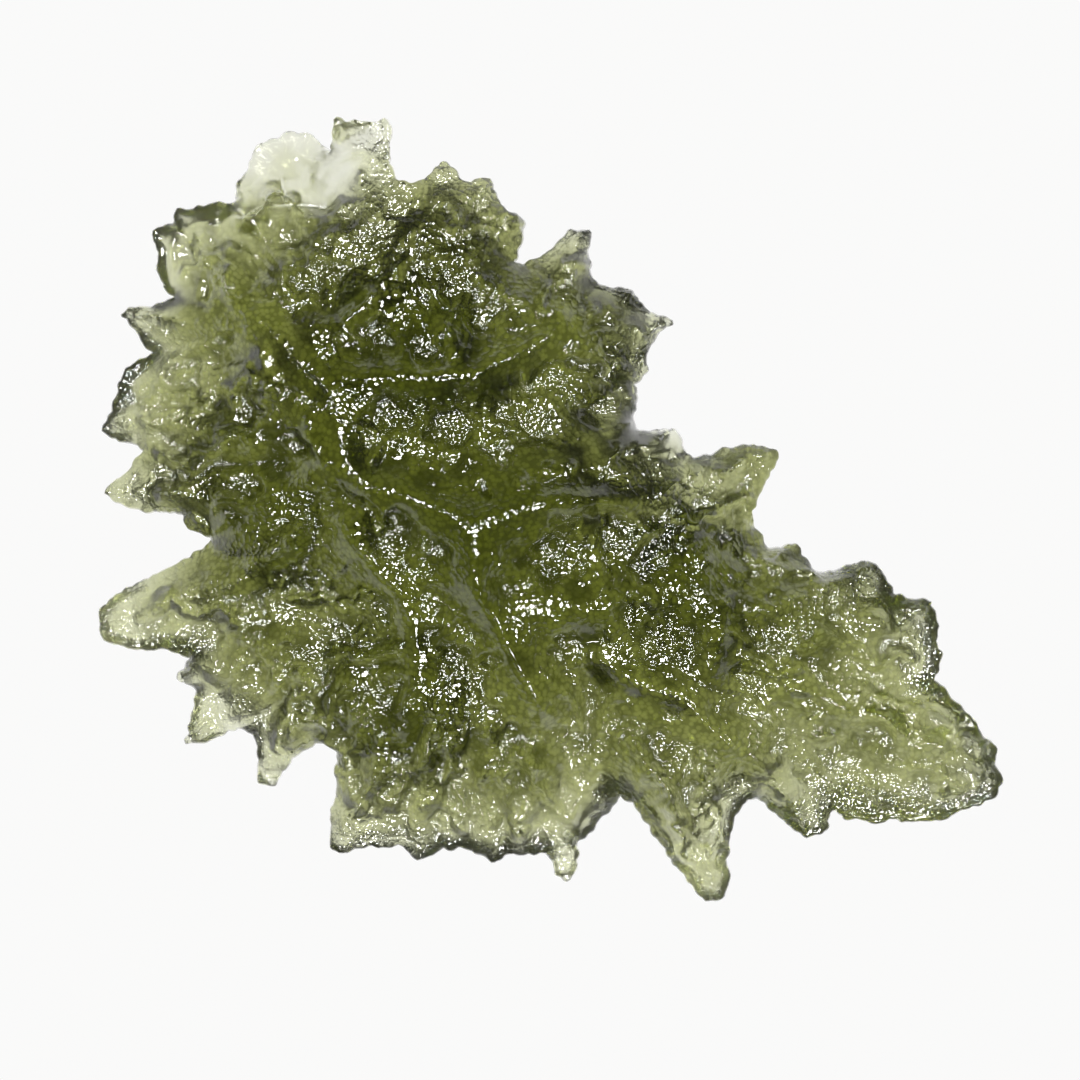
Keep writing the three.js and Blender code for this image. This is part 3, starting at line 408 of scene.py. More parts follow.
# Places where the glass thins to a clear sheet: x, y and thickness.
CLEAR: tuple[Point, ...] = (
    (-6.7, 13, 0.3), (-6.1, 13.3, 0.3), (-6.4, 11.9, 0.8), (-9.4, 12.3, 1.2), (-12.6, 9.2, 1.2),
    (-14.2, 6.6, 1.1), (-15.2, 3.6, 1.2), (-14.6, 0.8, 1.2), (-14.6, -3.8, 1), (-11.4, -7.1, 0.7),
    (-10, -9, 0.8), (-8.6, -11.6, 1.1), (-4.8, -11.8, 1), (0.4, -12.2, 0.7), (5.2, -12, 1.4),
    (-3.7, 11.8, 1.3), (-2.4, 11.2, 1.5), (3.4, 6.6, 0.9), (1.4, 9.2, 0.7), (3.9, 2.6, 0.7),
    (8.2, 2.1, 1.1), (9.2, -2, 1.6),
)

# Lobes whose skin the etch left smooth: x, y and radius.
SMOOTH_LOBES: tuple[Point, ...] = ((-9.5, 12.4, 2.6), (-12.4, 8.8, 2.3))

# Middles of the worn feet that the stone lies on.
FEET: tuple[Point, ...] = ((-5.3, 5.8), (-5.6, -6.4), (4.6, -2.2), (-9.8, 0.6))


def linear(hex_colour: str) -> tuple[float, float, float, float]:
    """Turns an sRGB hex colour into linear RGBA.

    Args:
        hex_colour: Six hex digits, such as "6f8a33".

    Returns:
        Linear red, green, blue and an alpha of 1.
    """
    channels = [int(hex_colour[i : i + 2], 16) / 255 for i in (0, 2, 4)]
    low = [c / 12.92 if c <= 0.04045 else ((c + 0.055) / 1.055) ** 2.4 for c in channels]
    return (low[0], low[1], low[2], 1.0)


def add_node(
    tree: bpy.types.NodeTree, kind: str, links: dict | None = None, **settings: object
) -> bpy.types.Node:
    """Adds one shader node with its settings and links.

    Args:
        tree: The node tree that gets the node.
        kind: The node's class name, such as "ShaderNodeTexNoise".
        links: For each input socket, by name or number, an output socket or a plain value.
        **settings: The node's own properties.

    Returns:
        The new node.
    """
    node = tree.nodes.new(kind)
    for name, value in settings.items():
        setattr(node, name, value)
    for name, value in (links or {}).items():
        live = [one for one in node.inputs if one.enabled and name in (one.name, one.identifier)]
        socket = node.inputs[name] if isinstance(name, int) else live[0]
        if isinstance(value, bpy.types.NodeSocket):
            tree.links.new(value, socket)
        else:
            socket.default_value = value
    return node


def smoothstep(value: Field, low: float, high: float) -> Field:
    """A smooth ramp of a field from 0 where it is low to 1 where it is high.

    Args:
        value: The field.
        low: Value at which the ramp starts.
        high: Value at which it ends.

    Returns:
        The ramp, between 0 and 1.
    """
    t = np.clip((value - low) / (high - low), 0.0, 1.0)
    return t * t * (3.0 - 2.0 * t)


def along(line: Line, step: float) -> Field:
    """Samples a line evenly.

    Args:
        line: Corners, each with the same number of coordinates.
        step: The longest distance between two samples.

    Returns:
        One row of coordinates for each sample.
    """
    rows = []
    for start, end in zip(line, line[1:]):
        count = max(1, math.ceil(math.dist(start[:2], end[:2]) / step))
        t = np.arange(count)[:, None] / count
        rows.append(np.array(start) * (1 - t) + np.array(end) * t)
    rows.append(np.array([line[-1]], dtype=float))
    return np.vstack(rows)


def curved(line: Line, rounds: int = 2) -> Line:
    """Cuts the corners of a line until it runs smoothly.

    Args:
        line: Corners, each with the same number of coordinates.
        rounds: How often each corner is cut.

    Returns:
        The smoother line, with the same ends.
    """
    for _ in range(rounds):
        points = np.array(line, dtype=float)
        near = points[:-1] * 0.75 + points[1:] * 0.25
        far = points[:-1] * 0.25 + points[1:] * 0.75
        middle = np.stack([near, far], axis=1).reshape(-1, points.shape[1])
        line = (tuple(points[0]), *map(tuple, middle[1:-1]), tuple(points[-1]))
    return line


@dataclass
class Outline:
    """The closed rim of the stone, with the fine nicks of a broken and etched edge."""

    teeth: dict[str, Tooth]
    rng: np.random.Generator
    step: float = 0.03
    nick_size: float = 0.28
    nick_depth: float = 0.035
    wide_nick: float = 2.6
    wide_share: float = 0.6

    def samples(self) -> Field:
        """Runs around the teeth and nicks their edge.

        Returns:
            The rim as dense rows of x, y and height.
        """
        corners = [(*point, tooth.level) for tooth in self.teeth.values() for point in tooth.edge]
        rim = along((*corners, corners[0]), self.step)[:-1]
        ahead = np.roll(rim[:, :2], -2, axis=0) - np.roll(rim[:, :2], 2, axis=0)
        ahead /= np.maximum(np.linalg.norm(ahead, axis=1, keepdims=True), 1e-9)
        nicks = self.noise(len(rim), self.nick_size)
        nicks += self.wide_share * self.noise(len(rim), self.nick_size * self.wide_nick)
        rim[:, 0] += ahead[:, 1] * nicks * self.nick_depth
        rim[:, 1] -= ahead[:, 0] * nicks * self.nick_depth
        return rim

    def noise(self, count: int, size: float) -> Field:
        """Smooth noise around a closed line.

        Args:
            count: Number of samples on the line.
            size: Length of a bump.

        Returns:
            One value of unit spread for each sample.
        """
        waves = np.fft.rfftfreq(count, self.step)
        white = np.fft.rfft(self.rng.standard_normal(count))
        smooth = np.fft.irfft(white * np.exp(-((waves * size) ** 2) * 2), count)
        return smooth / smooth.std()


class Net:
    """A square net of knots over the footprint. Every field on it is an array of rows by columns."""

    margin: int = 8
    near_edge: float = 3.0
    sway_waves: int = 5
    sway_lengths: tuple[float, float] = (1.2, 4.0)
    sway_ends: float = 0.6
    least_weight: float = 0.05
    pit_table: int = 256
    pit_gain: float = 1.6
    relaxation: float = 1.88

    def __init__(self, rim: Field, pitch: float, seed: int) -> None:
        """Casts the net over the rim.

        Args:
            rim: Dense samples of the outline, as x, y and height.
            pitch: Distance between neighbouring knots.
            seed: Seed of every random draw on the net.
        """
        self.pitch = pitch
        self.rng = np.random.default_rng(seed)
        margin = self.margin * pitch
        self.low = rim[:, :2].min(axis=0) - margin
        span = rim[:, :2].max(axis=0) + margin - self.low
        self.columns, self.rows = np.ceil(span / pitch).astype(int) + 1
        self.x, self.y = np.meshgrid(
            self.low[0] + np.arange(self.columns) * pitch, self.low[1] + np.arange(self.rows) * pitch
        )
        self.meshes = self.fill(rim)
        self.tie_rim(rim)

    @property
    def shape(self) -> tuple[int, int]:
        """Rows and columns of knots."""
        return (self.rows, self.columns)

    def knot(self, points: Field) -> tuple[Field, Field]:
        """The row and column of the knot nearest to each point of x, y."""
        at = np.rint((points[:, :2] - self.low) / self.pitch).astype(int)
        return at[:, 1], at[:, 0]

    def fill(self, rim: Field) -> Field:
        """Finds the meshes of the net that lie inside the rim, in one piece with clean edges.

        Args:
            rim: Dense samples of the outline.

        Returns:
            A mask of one value for each square mesh.
        """
        xs = self.x[0, :-1] + self.pitch / 2
        ys = self.y[:-1, 0] + self.pitch / 2
        x0, y0 = rim[:, 0], rim[:, 1]
        x1, y1 = np.roll(x0, -1), np.roll(y0, -1)
        inside = np.zeros((self.rows - 1, self.columns - 1), bool)
        for row, y in enumerate(ys):
            hit = (y0 <= y) != (y1 <= y)
            cross = x0[hit] + (y - y0[hit]) / (y1[hit] - y0[hit]) * (x1[hit] - x0[hit])
            inside[row] = np.searchsorted(np.sort(cross), xs) % 2 == 1
        return self.in_one_piece(self.without_pinches(inside))

    @staticmethod
    def without_pinches(inside: Field) -> Field:
        """Drops meshes that hang on by one corner, which would pinch the skin there.

        Args:
            inside: Mask of the filled meshes.

        Returns:
            The mask without them.
        """
        while True:
            a, b = inside[:-1, :-1], inside[:-1, 1:]
            c, d = inside[1:, :-1], inside[1:, 1:]
            pinch = (a & d & ~b & ~c) | (b & c & ~a & ~d)
            if not pinch.any():
                return inside
            for row, column in np.argwhere(pinch):
                inside[row + 1, column : column + 2] = False

    @staticmethod
    def in_one_piece(inside: Field) -> Field:
        """Keeps only the meshes that are joined to the middle of the net by their sides.

        Args:
            inside: Mask of the filled meshes.

        Returns:
            The mask of one connected piece.
        """
        reached = np.zeros_like(inside)
        reached[tuple(np.argwhere(inside)[inside.sum() // 2])] = True
        while True:
            grown = reached.copy()
            for axis in (0, 1):
                for way in (1, -1):
                    grown |= np.roll(reached, way, axis=axis)
            grown &= inside
            if (grown == reached).all():
                return reached
            reached = grown

    def tie_rim(self, rim: Field) -> None:
        """Moves the knots at the edge of the filled meshes onto the rim and keeps their heights.

        Args:
            rim: Dense samples of the outline.
        """
        filled = np.pad(self.meshes, 1)
        around = filled[:-1, :-1].astype(int) + filled[:-1, 1:] + filled[1:, :-1] + filled[1:, 1:]
        self.inside = around > 0
        self.edge = self.inside & (around < 4)
        rows, columns = np.nonzero(self.edge)
        self.rim_height = np.zeros(self.shape)
        batch = 500
        for i in range(0, len(rows), batch):
            r, c = rows[i : i + batch], columns[i : i + batch]
            gap = (self.x[r, c][:, None] - rim[:, 0]) ** 2 + (self.y[r, c][:, None] - rim[:, 1]) ** 2
            near = rim[gap.argmin(axis=1)]
            self.x[r, c], self.y[r, c], self.rim_height[r, c] = near.T
        self.from_edge = self.distance(self.edge, self.near_edge)

    def distance(self, marked: Field, reach: float) -> Field:
        """Measures how far every knot is from the marked ones.

        Args:
            marked: Mask of the marked knots.
            reach: Longest distance that is measured.

        Returns:
            The distance in millimetres, up to reach.
        """
        steps = int(reach / self.pitch)
        away = np.full(self.shape, float(steps))
        away[marked] = 0.0
        for _ in range(steps):
            for axis in (0, 1):
                for way in (1, -1):
                    away = np.minimum(away, np.roll(away, way, axis=axis) + 1.0)
                    across = np.roll(np.roll(away, way, axis=axis), 1, axis=1 - axis)
                    away = np.minimum(away, across + math.sqrt(2))
        return away * self.pitch

    def stray(self, count: int) -> Field:
        """Smooth sideways wander of a line, which is still at both ends.

        Args:
            count: Number of samples on the line, a quarter of the pitch apart.

        Returns:
            One row of x and y for each sample.
        """
        steps = np.arange(count) * self.pitch / 4
        waves = 2 * math.pi / self.rng.uniform(*self.sway_lengths, (self.sway_waves, 2, 1))
        starts = self.rng.uniform(0, 2 * math.pi, (self.sway_waves, 2, 1))
        sway = np.sin(waves * steps + starts).sum(axis=0) / math.sqrt(self.sway_waves / 2)
        return (sway * np.minimum(1.0, np.minimum(steps, steps[::-1]) / self.sway_ends)).T

    def grain(self, size: float) -> Field:
        """Smooth noise of unit spread whose lumps are about size millimetres across."""
        smooth = self.blur(self.rng.standard_normal(self.shape), size)
        return smooth / smooth.std()

    def blur(self, values: Field, size: float) -> Field:
        """Averages a field, whose far sides meet around the net.

        Args:
            values: The field.
            size: About how many millimetres it is averaged over.

        Returns:
            The smoother field.
        """
        fy = np.fft.fftfreq(self.rows, self.pitch)[:, None]
        fx = np.fft.rfftfreq(self.columns, self.pitch)[None, :]
        return np.fft.irfft2(np.fft.rfft2(values) * np.exp(-(fx**2 + fy**2) * size**2 * 2), self.shape)

    def blur_inside(self, values: Field, size: float) -> Field:
        """Averages a field with knots inside the outline only.

        Args:
            values: The field.
            size: About how many millimetres it is averaged over.

        Returns:
            The smoother field.
        """
        weight = np.maximum(self.blur(self.inside.astype(float), size), self.least_weight)
        return self.blur(np.where(self.inside, values, 0.0), size) / weight

    def pits(self, size: float, warp: float) -> Field:
        """Round pits packed side by side: 0 at each pit's middle and 1 on the walls between pits.

        Args:
            size: Width of a pit.
            warp: How far the pits are pushed out of round, as a share of their size.

        Returns:
            The pits' field.
        """
        push = self.grain(size * 1.5), self.grain(size * 1.5)
        u = (self.x + push[0] * size * warp) / size
        v = (self.y + push[1] * size * warp) / size
        cell_u, cell_v = np.floor(u).astype(int), np.floor(v).astype(int)
        table = self.pit_table
        spots = self.rng.random((2, table, table))
        nearest = np.full(self.shape, np.inf)
        for du in (-1, 0, 1):
            for dv in (-1, 0, 1):
                cu, cv = cell_u + du, cell_v + dv
                su, sv = spots[:, cv % table, cu % table]
                nearest = np.minimum(nearest, (cu + su - u) ** 2 + (cv + sv - v) ** 2)
        return np.clip(nearest * self.pit_gain, 0.0, 1.0)

    def combed(self, flow_x: Field, flow_y: Field, size: float, length: float) -> Field:
        """Noise combed along a flow, which gives flutes that run with it.

        Args:
            flow_x: The flow's direction across columns, of unit length.
            flow_y: The flow's direction across rows.
            size: Width of a flute.
            length: Length of a flute.

        Returns:
            A field of unit spread.
        """
        noise = self.grain(size)
        total = noise.copy()
        for way in (1.0, -1.0):
            row, column = np.indices(self.shape).astype(float)
            for _ in range(int(length / self.pitch / 2)):
                r = np.clip(np.rint(row).astype(int), 0, self.rows - 1)
                c = np.clip(np.rint(column).astype(int), 0, self.columns - 1)
                row += way * flow_y[r, c]
                column += way * flow_x[r, c]
                total += noise[r, c]
        total -= total.mean()
        return total / total.std()

    def distances(self, spots: tuple[Point, ...]) -> list[Field]:
        """The distance of every knot from each spot, told by its x and y."""
        return [np.hypot(self.x - spot[0], self.y - spot[1]) for spot in spots]

    def settle(self, fixed: Field, heights: Field, sag: Field | float, sweeps: int = 330) -> Field:
        """Lets a sheet hang from its fixed knots.

        Args:
            fixed: Which knots are held.
            heights: Heights of the held knots; the others start from these values.
            sag: Curvature of the free sheet, 1/mm; positive hangs down.
            sweeps: Rounds of relaxation.

        Returns:
            The settled heights.
        """
        sheet = heights.copy()
        pull = np.broadcast_to(sag * self.pitch**2 / 4, self.shape)
        row, column = np.indices(self.shape)
        free = ~fixed & self.inside
        halves = [free & ((row + column) % 2 == parity) for parity in (0, 1)]
        for _ in range(sweeps):
            for half in halves:
                beside = np.roll(sheet, 1, 0) + np.roll(sheet, -1, 0)
                beside = beside + np.roll(sheet, 1, 1) + np.roll(sheet, -1, 1)
                mean = beside / 4 - pull
                sheet[half] += self.relaxation * (mean[half] - sheet[half])
        return sheet


@dataclass(frozen=True)
class Etch:
    """Depths, widths and lengths of what the ground's acids cut into a face."""

    swell: float = 0.08
    swell_size: float = 2.4
    lump: float = 0.03
    lump_size: float = 0.9
    flute: float = 0.32
    flute_size: float = 0.9
    flute_length: float = 4.0
    fine_flute: float = 0.06
    fine_flute_size: float = 0.3
    fine_flute_length: float = 2.4
    flute_middle: float = 0.8
    sharpness: float = 1.2
    thumb: float = 0.13
    thumb_lost: float = 0.02
    thumb_size: float = 1.35
    thumb_power: float = 1.5
    thumb_middle: float = 0.8
    pit: float = 0.055
    pit_size: float = 0.6
    pit_middle: float = 0.7
    prick: float = 0.03
    prick_size: float = 0.32
    tooth: float = 0.006
    tooth_size: float = 0.26
    out_of_round: float = 0.3
    pit_out_of_round: float = 0.35
    broad: float = 1.2
    level: float = 0.15
    sloping: float = 0.5
    rim_share: float = 0.2
    rim_reach: float = 1.4
    crest_reach: float = 0.9
    band_share: float = 0.9
    under_share: float = 0.75

    def cut(self, net: Net, sheet: Field) -> Field:
        """Cuts cups, flutes and pits into a hanging sheet.

        Args:
            net: The net that the sheet hangs in.
            sheet: The face's heights before etching.

        Returns:
            The change in height of a face that looks up.
        """
        slope_y, slope_x = np.gradient(net.blur(sheet, self.broad), net.pitch)
        steep = np.hypot(slope_x, slope_y)
        level = 1e-6
        flow = -slope_x / np.maximum(steep, level), -slope_y / np.maximum(steep, level)
        flutes = net.combed(*flow, self.flute_size, self.flute_length)
        flutes = 1.0 - np.abs(flutes) / self.sharpness
        fine = net.combed(*flow, self.fine_flute_size, self.fine_flute_length)
        fine = 1.0 - np.abs(fine) / self.sharpness
        sloping = smoothstep(steep, self.level, self.sloping)
        thumbs = net.pits(self.thumb_size, self.out_of_round) ** self.thumb_power
        pits = net.pits(self.pit_size, self.pit_out_of_round)
        pricks = net.pits(self.prick_size, self.out_of_round)
        cut = self.swell * net.grain(self.swell_size) + self.lump * net.grain(self.lump_size)
        cut += self.flute * sloping * (flutes - self.flute_middle) + self.fine_flute * sloping * fine
        cut += (self.thumb - self.thumb_lost * sloping) * (thumbs - self.thumb_middle)
        cut += self.pit * (pits - self.pit_middle) + self.prick * pricks
        cut += self.tooth * net.grain(self.tooth_size)
        inner = smoothstep(net.from_edge, 0.0, self.rim_reach)
        return cut * (self.rim_share + (1.0 - self.rim_share) * inner)


@dataclass(frozen=True)
class Skin:
    """How strongly the fine skin of the upper face is pitted, from 0 for glassy to about 1."""

    outer: float = 1.1
    inner: float = 0.65
    crest: float = 0.55
    outer_reach: tuple[float, float] = (2.0, 4.0)
    crest_reach: tuple[float, float] = (0.15, 0.6)
    band_reach: tuple[float, float] = (0.12, 0.3)
    band_share: float = 0.85
    dull_share: float = 0.6
    patch_size: float = 0.9
    patch: float = 0.12
    patch_base: float = 0.9
    steep_size: float = 0.3
    steep_reach: tuple[float, float] = (0.6, 1.2)
    steep_share: float = 0.75
    smooth_reach: tuple[float, float] = (0.8, 1.15)


@dataclass
class Moldavite:
    """The stone itself, one closed piece of glass."""

    node: str = "moldavite"
    slot: str = "tektite_glass"
    pitch: float = 0.085
    snap: float = 0.7
    under_share: float = 0.34
    rim_thickness: float = 0.42
    inner_thickness: float = 0.5
    inner_reach: float = 1.5
    wedge: float = 2.3
    wedge_reach: float = 1.0
    thinnest: float = 0.28
    basin_sag: float = 0.42
    slope_sag: float = 0.32
    cup_floor: float = 0.5
    cup_lip: float = 1.05
    cup_share: float = 0.6
    cup_guard: tuple[float, float] = (0.05, 0.45)
    ripple: float = 0.035
    ripple_size: float = 0.45
    band_fade: tuple[float, float] = (0.6, 1.15)
    rise_size: float = 1.3
    dull_and_shaded_fade: tuple[float, float] = (0.35, 1.15)
    dull_and_shaded_stray: tuple[Point, ...] = ((0.25, 0.9), (0.1, 0.4))
    line_stray: tuple[Point, ...] = ((0.17, 0.8), (0.07, 0.3))
    rib_spread: float = 1.2
    rib_rise: float = 1.3
    rib_power: float = 1.6
    crest_wear: float = 0.5
    wear_reach: tuple[float, float] = (0.25, 0.9)
    wear_edge: tuple[float, float] = (0.2, 0.9)
    crest_wander: float = 0.05
    spine_wander: float = 0.16
    under_sag: float = 0.12
    under_smooth: float = 0.7
    under_seam: tuple[float, float] = (0.1, 1.0)
    mirror_size: float = 0.5
    keel_power: float = 1.5
    belly: float = 1.2
    tip_thickness: float = 0.6
    rim_bulge: float = 0.06
    flat_radius: float = 0.95
    hump_radius: float = 1.9
    hump_stray: float = 0.2
    hump_stray_size: float = 1.0
    foot_slope: float = 0.58
    clear_slope: float = 0.75
    # These set painted light and shade in the base colour: how it fades on thin glass, painted shade on cup
    # floors and deep hollows, and painted light on raised knots.
    thin_glass: float = 0.6
    thick_glass: float = 3.6
    floor_shade: float = 0.5
    hollow_shade: float = 0.8
    relief: tuple[float, float] = (-0.26, 0.13)
    relief_size: float = 0.7
    seed: int = 11
    etch: Etch = Etch()
    skin: Skin = Skin()
    net: Net = field(init=False)
    piece: bpy.types.Object = field(init=False)
    from_ridge: Field = field(init=False)
    from_crest: Field = field(init=False)
    stray: list[Field] = field(init=False)
    calm: Field = field(init=False)
    raised: Field = field(init=False)
    floor: Field = field(init=False)
    etched: Field = field(init=False)
    lit: Field = field(init=False)
    body: Field = field(init=False)

    def build(self) -> bpy.types.Object:
        """Knots the net, shapes both faces and joins them into one closed mesh.

        Returns:
            The stone's object.
        """
        rim = Outline(TEETH, np.random.default_rng(self.seed)).samples()
        self.net = Net(rim, self.pitch, self.seed + 1)
        upper = self.upper_face()
        under = self.under_face(upper)
        # Painted light and shade fade out where the glass is thin; painted shade also darkens the cup
        # floors.
        self.body = smoothstep(upper - under, self.thin_glass, self.thick_glass)
        self.lit = (1.0 - self.body * (1.0 - self.lit)) * (1.0 - self.floor_shade * self.floor)
        self.piece = self.joined(upper, under)
        LOG.info("%s: %d faces", self.piece.name, len(self.piece.data.polygons))
        return self.piece

    def hold(self, fixed: Field, heights: Field, line: Line, face: Face, wander: float = 0.0) -> None:
        """Ties the net's knots to a line, which keeps a crest or a keel sharp.

        Args:
            fixed: Mask of held knots, which gets the line's knots.
            heights: Heights of the held knots.
            line: Corners of x, y and height.
            face: The face that the line shapes; only the upper face moves knots sideways.
            wander: How far the line strays from its corners.
        """
        net = self.net
        samples = along(line, net.pitch / 4)
        if wander:
            samples[:, :2] += wander * net.stray(len(samples))
            samples[:, 2] -= wander * np.abs(net.stray(len(samples))[:, 0])
        rows, columns = net.knot(samples)
        gap = np.hypot(net.x[rows, columns] - samples[:, 0], net.y[rows, columns] - samples[:, 1])
        for i in np.argsort(-gap):
            row, column = rows[i], columns[i]
            if net.edge[row, column] or not net.inside[row, column]:
                continue
            height = samples[i, 2]
            if fixed[row, column] and (height - heights[row, column]) * face.value < 0:
                continue
            fixed[row, column] = True
            heights[row, column] = height
            if face is Face.UPPER and gap[i] < self.snap * net.pitch:
                net.x[row, column], net.y[row, column] = samples[i, :2]

    def upper_face(self) -> Field:
        """Shapes the etched upper face and marks its skin and its painted light and shade.

        Returns:
            The face's heights.
        """
        net = self.net
        sheet = self.hung_sheet()
        self.stray = [self.wandering(self.line_stray) for _ in "xy"]
        self.calm, self.raised = self.bands()
        dull_and_shaded = self.dull_and_shaded()
        self.etched = self.pitted(dull_and_shaded)
        final = self.with_cups(sheet + self.etching(sheet, Face.UPPER), sheet)
        final = self.rounded(final + self.ribs())
        # Painted light and shade for the base colour: raised knots and smooth bands are lighter, the deep
        # hollows darker.
        around = net.blur(np.where(net.inside, final, net.rim_height), self.relief_size)
        raised = smoothstep(final - around, *self.relief)
        self.lit = np.maximum(raised, self.calm) * (1.0 - self.hollow_shade * dull_and_shaded)
        self.etched = self.spared(final)
        return final

    def wandering(self, waves: tuple[Point, ...]) -> Field:
        """Adds up smooth noise, told by its height and its size."""
        return sum(height * self.net.grain(size) for height, size in waves)

    def hung_sheet(self) -> Field:
        """Hangs the sheet of the upper face from its crests, spines and rim.

        Returns:
            The sheet's heights before etching.
        """
        net = self.net
        fixed = net.edge.copy()
        start = 5.0
        reach = 1.2
        heights = np.where(net.edge, net.rim_height, start)
        self.hold(fixed, heights, PETAL_ROOT, Face.UPPER)
        for tooth in TEETH.values():
            self.hold(fixed, heights, tooth.spine, Face.UPPER, self.spine_wander)
        spines = fixed.copy()
        for crest in CRESTS.values():
            self.hold(fixed, heights, curved(crest), Face.UPPER, self.crest_wander)
        sharp = fixed.copy()
        for ridge in SOFT_RIDGES.values():
            self.hold(fixed, heights, curved(ridge), Face.UPPER, self.spine_wander)
        self.from_ridge = net.distance(sharp & ~spines, reach)
        self.from_crest = net.distance(sharp & ~net.edge, reach)
        basin = smoothstep(net.from_edge, net.near_edge / 2, net.near_edge)
        return net.settle(fixed, heights, self.slope_sag + (self.basin_sag - self.slope_sag) * basin)

    def pitted(self, dull_and_shaded: Field) -> Field:
        """Marks how strongly the skin is pitted before the cups are sunk.

        Args:
            dull_and_shaded: Share of each knot that a hollow covers whose skin is less pitted and darkened
                by painted shade.

        Returns:
            The pitting, from 0 for glassy to about 1.
        """
        net, skin = self.net, self.skin
        bare = skin.outer + (skin.inner - skin.outer) * smoothstep(net.from_edge, *skin.outer_reach)
        etched = skin.crest + (bare - skin.crest) * smoothstep(self.from_ridge, *skin.crest_reach)
        etched *= skin.patch_base + skin.patch * net.grain(skin.patch_size)
        aside = smoothstep(self.from_ridge, *skin.band_reach)
        return etched * (1.0 - skin.band_share * self.calm * aside) * (1.0 - skin.dull_share * dull_and_shaded)

    def spared(self, final: Field) -> Field:
        """Pits the floors of the cups and spares the steep walls and the smooth lobes.

        Args:
            final: Heights of the finished upper face.

        Returns:
            The pitting, from 0 for glassy to about 1.
        """
        net, skin = self.net, self.skin
        etched = self.etched + (1.0 - self.etched) * self.floor
        steep = np.hypot(*np.gradient(net.blur(final, skin.steep_size), net.pitch))
        etched *= 1.0 - skin.steep_share * smoothstep(steep, *skin.steep_reach)
        for lobe, away in zip(SMOOTH_LOBES, net.distances(SMOOTH_LOBES)):
            etched *= smoothstep(away / lobe[2], *skin.smooth_reach)
        return etched

    def under_face(self, upper: Field) -> Field:
        """Shapes the lower face, which always stays below the upper one.

        Args:
            upper: Heights of the upper face.

        Returns:
            The lower face's heights.
        """
        net = self.net
        skin = net.blur_inside(upper, self.mirror_size)
        depth = self.rim_thickness + self.wedge * (1.0 - np.exp(-net.from_edge / self.wedge_reach))
        sheet = np.minimum(self.keeled_sheet(), skin - depth) + self.raised
        away = np.min(net.distances(FEET), axis=0)
        sheet = np.minimum(sheet, self.foot_slope * np.maximum(away - self.flat_radius, 0.0))
        for spot, beside in zip(CLEAR, net.distances(CLEAR)):
            level = skin.flat[np.argmin(beside)] - spot[2]
            sheet = np.maximum(sheet, level - self.clear_slope * beside)
        inner = self.inner_thickness * smoothstep(net.from_edge, 0.0, self.inner_reach)
        sheet = np.minimum(sheet, skin - self.rim_thickness - inner)
        smooth = net.blur_inside(sheet, self.under_smooth)
        sheet += (smooth - sheet) * smoothstep(net.from_edge, *self.under_seam)
        sheet = np.where(net.inside, sheet, net.rim_height - self.rim_thickness)
        stray = self.hump_stray * net.grain(self.hump_stray_size)
        away += stray * smoothstep(away, self.flat_radius, self.hump_radius)
        sheet += self.etching(sheet, Face.UNDER)
        sheet *= smoothstep(away, self.flat_radius, self.hump_radius)
        return np.clip(np.minimum(sheet, upper - self.thinnest), 0.0, None)

    def keeled_sheet(self) -> Field:
        """Draws the sheet of the lower face down to keels under the teeth and between the feet.

        Returns:
            The sheet's heights before anything thins it.
        """
        net = self.net
        fixed = net.edge.copy()
        start = 2.0
        heights = np.where(net.edge, net.rim_height - self.rim_thickness, start)
        for tooth in TEETH.values():
            last = len(tooth.spine) - 1
            tip = tooth.spine[last][2] - self.tip_thickness
            keel = tuple(
                (x, y, self.belly + (tip - self.belly) * (i / last) ** self.keel_power)
                for i, (x, y, _) in enumerate(tooth.spine)
            )
            self.hold(fixed, heights, keel, Face.UNDER)
        for keel in KEELS:
            self.hold(fixed, heights, keel, Face.UNDER)
        return net.settle(fixed, heights, -self.under_sag)

    def etching(self, sheet: Field, face: Face) -> Field:
        """What the etch took from a face.

        Args:
            sheet: The face's heights before etching.
            face: Which face it is.

        Returns:
            The change in height, positive upwards.
        """
        cut = self.etch.cut(self.net, sheet) * face.value
        if face is Face.UNDER:
            return cut * self.etch.under_share
        kept = 1.0 - self.etch.band_share * self.calm
        return cut * smoothstep(self.from_crest, 0.0, self.etch.crest_reach) * kept

    def bands(self) -> tuple[Field, Field]:
        """Marks the smooth bands beside the crests.

        Returns:
            How much of each knot a band covers, and how far the lower face rises under it.
        """
        net = self.net
        calm = np.zeros(net.shape)
        raised = np.zeros(net.shape)
        for radius, rise, line in BANDS:
            share = 1.0 - smoothstep(self.away_from(line) / radius, *self.band_fade)
            calm = np.maximum(calm, share)
            raised += (rise - raised) * share
        return calm, net.blur(raised, self.rise_size)

    def dull_and_shaded(self) -> Field:
        """Marks the deep hollows whose skin is less pitted and darkened by painted shade.

        Returns:
            The share of each knot that such a hollow covers.
        """
        net = self.net
        stray = self.wandering(self.dull_and_shaded_stray)
        share = np.zeros(net.shape)
        for spot, away in zip(DULL_AND_SHADED, net.distances(DULL_AND_SHADED)):
            share = np.maximum(share, 1.0 - smoothstep(away / spot[2] + stray, *self.dull_and_shaded_fade))
        return share

